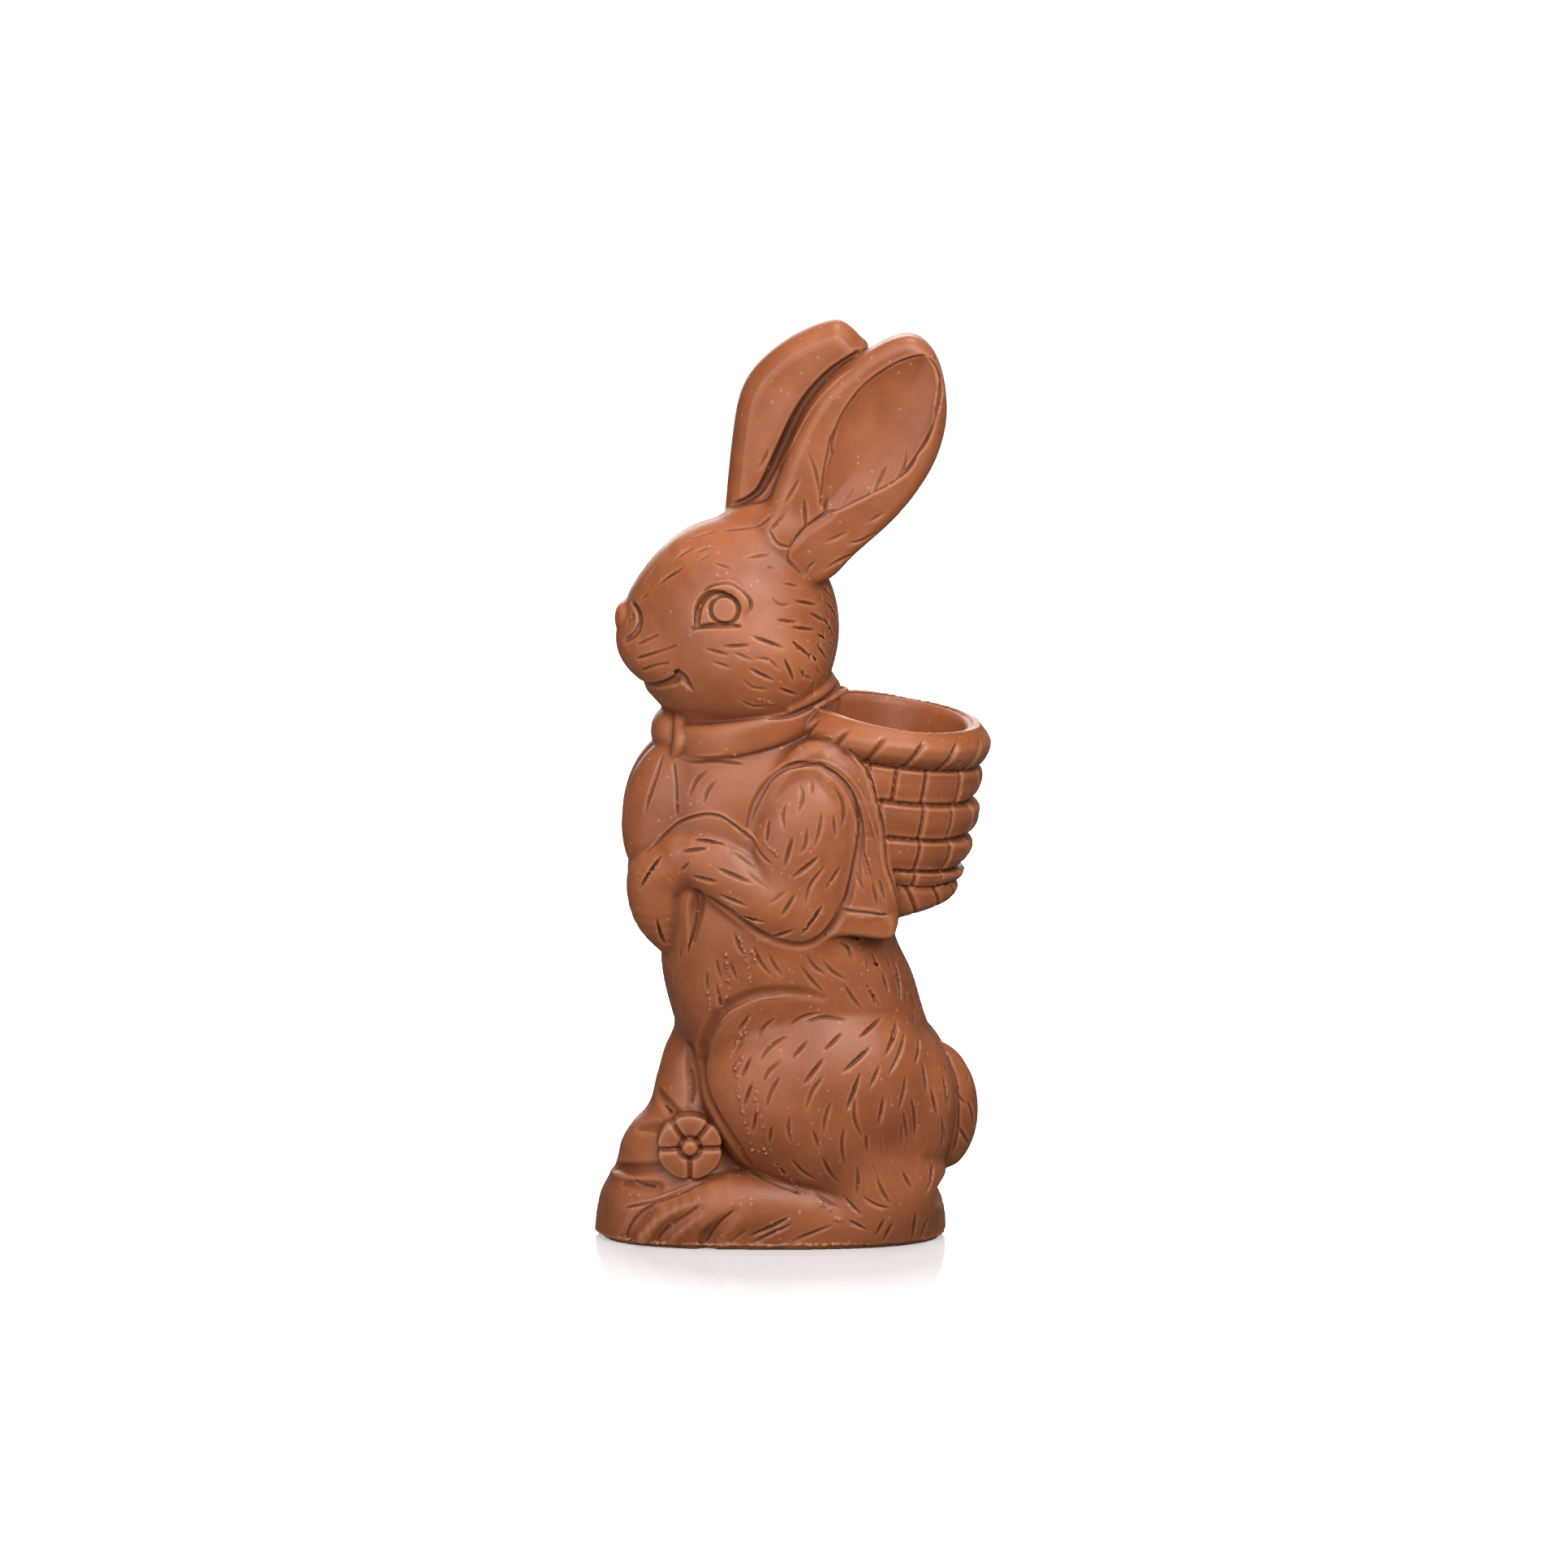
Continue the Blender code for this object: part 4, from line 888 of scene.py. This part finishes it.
def line(clay, pixels, wide, side="both", closed=False):
    """Cut a long even line where the photograph shows it."""
    path = smooth_path(traced(clay, pixels), 5)
    ends = np.ones(len(path)) if closed else tapered(len(path), 12, 0.1)
    clay.draw(path, wide * ends, side, LINE_SHADE_REACH)


def ridge(clay, pixels, wide):
    """Raise a thin sharp fold where the photograph shows a pale line."""
    sunk = 0.4
    path = smooth_path(traced(clay, pixels, -sunk * wide), 4)
    radii = wide * tapered(len(path), 6, 0.15)
    for piece in pieces(len(path), 6):
        clay.add(tube(path[piece], radii[piece], steps=1), 0.12)


def ear_gap(clay):
    """The groove in the far ear's face along the edge of the near ear."""
    s = 0.4
    rise = 0.1
    path = []
    for across, down in EAR_GAP:
        path.append(((across - PHOTO_X) / PHOTO_ACROSS, s, (PHOTO_Z - down) / PHOTO_UP + rise))
    path = smooth_path(path, 3)
    radii = np.sin(np.linspace(0.15, math.pi - 0.15, len(path))) ** 0.5
    clay.cut(tube(path, radii, steps=1), 0.6)


def carve_lines(clay):
    """The lines that the mould gives the fur, the ears, the vest and the foot."""
    for group, wide in ((RIDGES, 0.34), (STREAKS, 0.6)):
        for pixels in group:
            ridge(clay, pixels, wide)
    ear_gap(clay)
    for pixels in EAR_THICK:
        gouge(clay, pixels, "near", 1.3)
    for pixels in EAR_LINES:
        line(clay, pixels, 0.3, "near")
    for pixels in EAR_STROKES:
        gouge(clay, pixels, "near", 0.9)
    for pixels in HEAD_STROKES:
        gouge(clay, pixels, broad=0.75)
    for pixels in (
        *ARM_STROKES, *CHEST_STROKES, *VEST_STROKES, *BODY_STROKES, *HAUNCH_STROKES, *TAIL_STROKES,
        *FOOT_STROKES,
    ):
        gouge(clay, pixels)
    for group, wide in (
        (FACE_LINES, 0.24), (EYE_LINES, 0.25), (TUFT_LINES, 0.26), (TOE_LINES, 0.26), (VEST_LINES, 0.26),
    ):
        for pixels in group:
            line(clay, pixels, wide)
    across, down, radius = EYE_RING
    turns = np.radians(range(0, 361, 20))
    ring = np.stack([across + radius * np.cos(turns), down + radius * np.sin(turns)], axis=1)
    line(clay, ring, 0.25, closed=True)
    line(clay, BROW_LINE, 0.36)


def rim_line(clay):
    """The thin groove between the basket's rim and its mouth."""
    outside = 0.9
    sunk = 0.1
    lean = math.radians(BASKET_LEAN)
    points = []
    for turn in np.radians(range(-40, 91, 10)):
        u = 1.0 + (BASKET_MOUTH_LENGTH / 2 * MM + outside) * math.sin(turn)
        s = (BASKET_MOUTH_DEPTH / 2 * MM + outside) * math.cos(turn)
        dx = u * math.cos(lean) + sunk * math.sin(lean)
        dz = sunk * math.cos(lean) - u * math.sin(lean)
        points.append((BASKET_CENTRE_X * MM + dx, s, BASKET_RIM_Z * MM + dz))
    clay.draw(points, [0.3] * len(points), dark=LINE_SHADE_REACH)


def within(values, span):
    """Which values lie between the two of a span."""
    return (values > span[0]) & (values < span[1])


def fill_fur(clay, rng):
    """Seeded fur strokes, running down, on the parts that face away from the photograph's view."""
    points, quads = clay.surface()
    normals = normals_of(points, quads)
    for across, deep, up, facing, count in FUR_ZONES:
        fits = within(points[:, 0], across) & within(np.abs(points[:, 1]), deep)
        fits &= within(points[:, 2], up) & (normals[:, 0] * facing > FUR_FACING)
        chosen = []
        for index in rng.permutation(np.flatnonzero(fits)):
            away = [np.linalg.norm(points[index] - points[other]) for other in chosen]
            if min(away, default=math.inf) > FUR_APART:
                chosen.append(index)
            if len(chosen) == count:
                break
        for index in chosen:
            normal = normals[index]
            sway = rng.normal(0.0, FUR_SWAY)
            down = np.array([0.0, math.sin(sway), -math.cos(sway)])
            down -= normal * np.dot(down, normal)
            half = down / np.linalg.norm(down) * rng.uniform(*FUR_HALF_LENGTH)
            middle = points[index] + STROKE_LIFT * normal
            side = "near" if middle[1] < 0 else "far"
            path = np.array([middle - half, middle, middle + half]) * (1, -1 if side == "near" else 1, 1)
            clay.draw(smooth_path(path, 3), FUR_RADII, side)


def pit(clay, pixel):
    """A small round hole, left by an air bubble."""
    clay.cut(ellipsoid(traced(clay, [pixel])[0], (0.32, 0.32, 0.32)), 0.08)


def crumbs(clay, pixels, rng):
    """A row of tiny raised grains along a line of the photograph."""
    for x, s, z in smooth_path(traced(clay, pixels), 6):
        shift = rng.uniform(-0.4, 0.4, 2)
        radius = rng.uniform(0.20, 0.38)
        clay.add(ellipsoid((x + shift[0], s, z + shift[1]), (radius, radius, radius)), 0.05)


def seam(clay):
    """The thin ridge that the two halves of the mould leave at the parting plane."""
    height = 0.10
    wide = 0.25
    clay.field -= (height * np.exp(-(clay.axes[1] / wide) ** 2))[None, :, None]


def base_edge(count, inset, height, rng):
    """Points round the base's lower edge, a little uneven."""
    half_length = BASE_LENGTH * MM / 2
    half_width = BASE_DEPTH * MM / 2
    centre = BASE_FRONT_X * MM + half_length
    square = 0.77
    points = []
    for turn in np.linspace(0, math.pi, count):
        c = math.cos(turn)
        x = centre + (half_length - inset) * math.copysign(abs(c) ** square, c)
        s = (half_width - inset) * math.sin(turn) ** square
        shift = (rng.uniform(-0.1, 0.1), rng.uniform(-0.1, 0.1), rng.uniform(-0.15, 0.15))
        points.append((x + shift[0], s + shift[1], height + shift[2]))
    return points


def trim_base(clay, rng):
    """The undercut and the crumbly edge that are left where the figure was trimmed from its mould."""
    for side in ("near", "far"):
        under = base_edge(60, -0.1, 0.0, rng)
        for piece in pieces(len(under), 8):
            clay.cut(tube(under[piece], [0.8] * len(under[piece]), steps=1), 0.2, side)
        edge = base_edge(240, 0.2, 1.1, rng)
        for piece in pieces(len(edge), 12):
            radii = rng.uniform(0.1, 0.42, len(edge[piece]))
            clay.add(tube(edge[piece], radii, steps=1), 0.1, side)


def below_ground(x, s, z):
    """Distance to the plane that the figure stands on, negative below it."""
    return z + 0 * x + 0 * s


def figure(rng):
    """The clay of the whole bunny."""
    clay = Clay()
    add_torso(clay)
    add_ground(clay)
    add_hind_leg(clay)
    add_vest(clay)
    add_basket(clay)
    add_strap(clay)
    add_arm(clay)
    add_head(clay)
    add_eye(clay)
    add_ears(clay)
    add_scarf(clay)
    add_flower(clay)
    seam(clay)
    carve_lines(clay)
    rim_line(clay)
    fill_fur(clay, rng)
    for pixel in PITS:
        pit(clay, pixel)
    for pixels in CRUMB_ROWS:
        crumbs(clay, pixels, rng)
    trim_base(clay, rng)
    clay.cut((below_ground, np.array([-42, 0, -3]), np.array([42, 24, 0])))
    return clay


def stand_flat(points):
    """Rest the underside on z = 0, centre the length and bring the height to HEIGHT."""
    under = points[:, 2] < 0.3 * STEP
    points[under, 2] = 0.0
    points[:, 0] -= (points[:, 0].min() + points[:, 0].max()) / 2
    return points * HEIGHT * MM / points[:, 2].max()


def corner_sums(values, corners, count):
    """For each of count points, the sum of the values given at its corners."""
    return np.stack([np.bincount(corners, values[:, i], count) for i in range(3)], axis=1)


def normals_of(points, quads):
    """Each point's outward direction."""
    diagonal_a = points[quads[:, 2]] - points[quads[:, 0]]
    diagonal_b = points[quads[:, 3]] - points[quads[:, 1]]
    face_normal = np.cross(diagonal_a, diagonal_b)
    normal = sum(corner_sums(face_normal, quads[:, i], len(points)) for i in range(4))
    return normal / (np.linalg.norm(normal, axis=1)[:, None] + 1e-9)


def relief_of(points, quads, normal):
    """How far each point stands out of a smoothed surface, and that one out of a smoother one."""
    count = len(points)
    starts = quads.ravel()
    ends = np.roll(quads, -1, axis=1).ravel()
    share = np.bincount(starts, minlength=count)[:, None]

    def smoothed(values, rounds):
        for _ in range(rounds):
            values = 0.5 * values + 0.5 * corner_sums(values[ends], starts, count) / share
        return values

    rounds = int(round(1.0 / STEP**2))
    narrow = smoothed(points, rounds)
    wide = smoothed(narrow, rounds * 6)
    return ((points - narrow) * normal).sum(axis=1), ((narrow - wide) * normal).sum(axis=1)


def new_object(name, data):
    """An object in the scene."""
    made = bpy.data.objects.new(name, data)
    bpy.context.scene.collection.objects.link(made)
    return made


def fill(tree, sockets, values):
    """Set a node's inputs, or link them to the outputs given for them."""
    for key, value in values:
        if isinstance(value, bpy.types.NodeSocket):
            tree.links.new(value, sockets[key])
        else:
            sockets[key].default_value = value


def node(tree, kind, values=(), **settings):
    """The outputs of a new node with those inputs and settings."""
    made = tree.nodes.new("ShaderNode" + kind)
    for key, value in settings.items():
        setattr(made, key, value)
    fill(tree, made.inputs, values)
    return made.outputs


def to_range(tree, source, low, high, a, b):
    """A value from low to high as one from a to b."""
    values = (("Value", source), ("From Min", low), ("From Max", high), ("To Min", a), ("To Max", b))
    return node(tree, "MapRange", values)["Result"]


def new_material(name):
    """A material with nodes, and the inputs of its shader."""
    material = bpy.data.materials.new(name)
    material.use_nodes = True
    return material, material.node_tree.nodes["Principled BSDF"].inputs


def chocolate():
    """Semi-gloss milk chocolate: painted shade in its hollows, creases and lines, painted highlights on its
    edges and beside its lines, and pale fine grains.

    Each tone is laid over the last by a factor, and the last one paints a contact shadow along the foot of
    the base.
    """
    material, shader = new_material("milk_chocolate")
    tree = material.node_tree
    place = node(tree, "TexCoord")["Object"]

    def noise(scale, detail):
        return node(tree, "TexNoise", (("Vector", place), ("Scale", scale), ("Detail", detail)))["Fac"]

    def at_points(name):
        return node(tree, "Attribute", attribute_name=name)["Fac"]

    def ramp(source, *stops):
        made = tree.nodes.new("ShaderNodeValToRGB")
        elements = made.color_ramp.elements
        while len(elements) < len(stops):
            elements.new(0.5)
        for element, (position, colour) in zip(elements, stops):
            element.position = position
            element.color = colour if isinstance(colour, tuple) else (colour, colour, colour, 1.0)
        fill(tree, made.inputs, [("Fac", source)])
        return made.outputs["Color"]

    def mix(kind, factor, a, b):
        return node(tree, "Mix", ((0, factor), (6, a), (7, b)), data_type="RGBA", blend_type=kind)[2]

    def combine(kind, a, b):
        return node(tree, "Math", ((0, a), (1, b)), operation=kind)["Value"]

    height = node(tree, "SeparateXYZ", [("Vector", place)])["Z"]
    fine = at_points("fine_relief")
    drawn = at_points("line_distance")
    beside_line = to_range(tree, drawn, -0.5, 1.0, 0.0, 1.0)
    grain = node(tree, "TexVoronoi", (("Vector", place), ("Scale", 520)), feature="F1")
    in_grain = to_range(tree, grain["Distance"], 0.08, 0.17, 1.0, 0.0)
    chance = node(tree, "SeparateColor", [("Color", grain["Color"])])["Red"]
    speck = combine("MULTIPLY", in_grain, to_range(tree, chance, 0.52, 0.54, 0.0, 1.0))

    body = ramp(noise(55, 4), (0.36, BROWN_DARK), (0.64, BROWN_LIGHT))
    colour = mix("MULTIPLY", 1.0, body, ramp(noise(320, 3), (0.35, 0.90), (0.65, 1.0)))
    for factor, tone in (
        # painted shade where other forms crowd the open air in front of the skin
        (to_range(tree, at_points("shelter"), 0.05, 0.75, 0.0, 0.8), BROWN_HOLLOW_SHADE),
        # painted shade in the broad hollows of the surface
        (to_range(tree, at_points("broad_relief"), -0.5, 0.0, 0.6, 0.0), BROWN_HOLLOW_SHADE),
        # painted highlight on ridges, crumbs and other raised detail
        (to_range(tree, fine, 0.015, 0.10, 0.0, 0.65), BROWN_EDGE_HIGHLIGHT),
        # painted highlight on the lip beside each drawn line
        (ramp(beside_line, (0.34, 0.0), (0.42, 0.22), (0.56, 0.0)), BROWN_EDGE_HIGHLIGHT),
        # painted shade in narrow creases
        (to_range(tree, fine, -0.16, -0.015, 0.8, 0.0), BROWN_CREASE_SHADE),
        # painted shade in and just beyond the drawn lines
        (to_range(tree, drawn, -0.2, 0.04, 0.78, 0.0), BROWN_LINE_AND_CONTACT_SHADE),
        (to_range(tree, speck, 0.0, 1.0, 0.0, 0.7), BROWN_SPECK),
        # painted contact shadow along the foot of the base
        (to_range(tree, height, 0.0001, 0.0005, 0.9, 0.0), BROWN_LINE_AND_CONTACT_SHADE),
    ):
        colour = mix("MIX", factor, colour, tone)

    coarse = to_range(tree, noise(260, 3), 0.0, 1.0, 0.0, 1.0)
    bumps = combine("ADD", coarse, to_range(tree, noise(1900, 3), 0.0, 1.0, 0.0, 0.22))
    bump = node(tree, "Bump", (("Strength", 0.35), ("Distance", 0.0003), ("Height", bumps)))
    fill(tree, shader, (
        ("Base Color", colour),
        ("Roughness", to_range(tree, noise(120, 4), 0.3, 0.7, 0.33, 0.48)),
        ("Specular IOR Level", 0.38),
        ("Subsurface Weight", 0.06),
        ("Subsurface Radius", (1.0, 0.4, 0.2)),
        ("Subsurface Scale", 0.0012),
        ("Normal", bump["Normal"]),
    ))
    return material


def make_bunny():
    """The one piece: the figure in chocolate, with the values its material reads at each point."""
    clay = figure(np.random.default_rng(7))
    points, quads = clay.surface()
    normals = normals_of(points, quads)
    fine, broad = relief_of(points, quads, normals)
    at_points = {
        "fine_relief": fine,
        "broad_relief": broad,
        "line_distance": clay.read(clay.lines, points),
        "shelter": clay.shelter(points, normals),
    }
    mesh = bpy.data.meshes.new("chocolate_bunny")
    mesh.from_pydata((stand_flat(points) / MM).tolist(), [], quads.tolist())
    mesh.validate()
    for name, values in at_points.items():
        attribute = mesh.attributes.new(name, "FLOAT", "POINT")
        attribute.data.foreach_set("value", values.astype(np.float32))
    mesh.shade_smooth()
    mesh.materials.append(chocolate())
    bunny = new_object("chocolate_bunny", mesh)
    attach(bunny, "root")
    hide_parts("bunny")


def add_stage_plane(name, half, height, base, glow):
    """A plane that glows a little, like a lit table; its material and its shader's inputs."""
    mesh = bpy.data.meshes.new(name)
    corners = [(-half, -half, height), (half, -half, height), (half, half, height), (-half, half, height)]
    mesh.from_pydata(corners, [], [(0, 1, 2, 3)])
    plane = new_object(name, mesh)
    plane.visible_glossy = False
    plane.visible_diffuse = False
    material, shader = new_material(name)
    fill(material.node_tree, shader, (
        ("Base Color", (base, base, base, 1.0)),
        ("Roughness", 0.10),
        ("Emission Color", (1.0, 0.97, 0.96, 1.0)),
        ("Emission Strength", glow),
    ))
    mesh.materials.append(material)
    return material, shader


def add_stage():
    """A pale glossy table top with a painted shadow: its glow is dimmer near the figure and whiter away
    from it, on a wide white ground.
    """
    shadow_glow = 0.42
    far_glow = 1.0
    table, shader = add_stage_plane("table_top", half=0.16, height=-0.00005, base=0.42, glow=shadow_glow)
    add_stage_plane("ground", half=30.0, height=-0.001, base=0.8, glow=1.1)
    tree = table.node_tree
    place = node(tree, "TexCoord")["Object"]
    away = node(tree, "VectorMath", [(0, place)], operation="LENGTH")["Value"]
    # painted shadow: the table's glow is dimmest round the figure
    fill(tree, shader, [("Emission Strength", to_range(tree, away, 0.035, 0.08, shadow_glow, far_glow))])


def add_light(name, place, size, energy):
    """A square lamp that looks at the middle of the figure."""
    middle = Vector((0, 0, 0.09))
    lamp = bpy.data.lights.new(name, "AREA")
    lamp.size = size
    lamp.energy = energy
    holder = new_object(name, lamp)
    holder.location = place
    holder.rotation_euler = (middle - Vector(place)).to_track_quat("-Z", "Y").to_euler()


def add_studio():
    """A dim even surrounding and five soft lamps."""
    world = bpy.data.worlds.new("studio")
    world.use_nodes = True
    background = world.node_tree.nodes["Background"].inputs
    fill(world.node_tree, background, (("Color", (1.0, 1.0, 1.0, 1.0)), ("Strength", 0.16)))
    bpy.context.scene.world = world
    add_light("key", (-0.14, -0.56, 0.48), size=0.75, energy=3.7)
    add_light("right", (0.20, -0.38, 0.38), size=0.30, energy=1.9)
    add_light("top", (0.14, 0.04, 0.90), size=0.40, energy=3.2)
    add_light("fill", (-0.38, -0.50, 0.06), size=0.50, energy=1.3)
    add_light("back", (-0.1, 0.8, 0.35), size=0.6, energy=4.0)
    bpy.context.scene.view_settings.view_transform = "Standard"


def add_camera():
    """The photograph's view: a long lens a little above the figure."""
    target = Vector((-0.00156, 0.0, 0.0891))
    rise = math.radians(11.5)
    distance = 2.0
    half_view = 0.1512
    back = Vector((0.0, -math.cos(rise), math.sin(rise)))
    lens = bpy.data.cameras.new("camera")
    lens.sensor_width = 36.0
    lens.lens = lens.sensor_width * distance / (2 * half_view)
    camera = new_object("camera", lens)
    camera.location = target + distance * back
    camera.rotation_euler = (-back).to_track_quat("-Z", "Y").to_euler()
    bpy.context.scene.camera = camera


add_camera()
add_studio()
add_stage()
make_bunny()
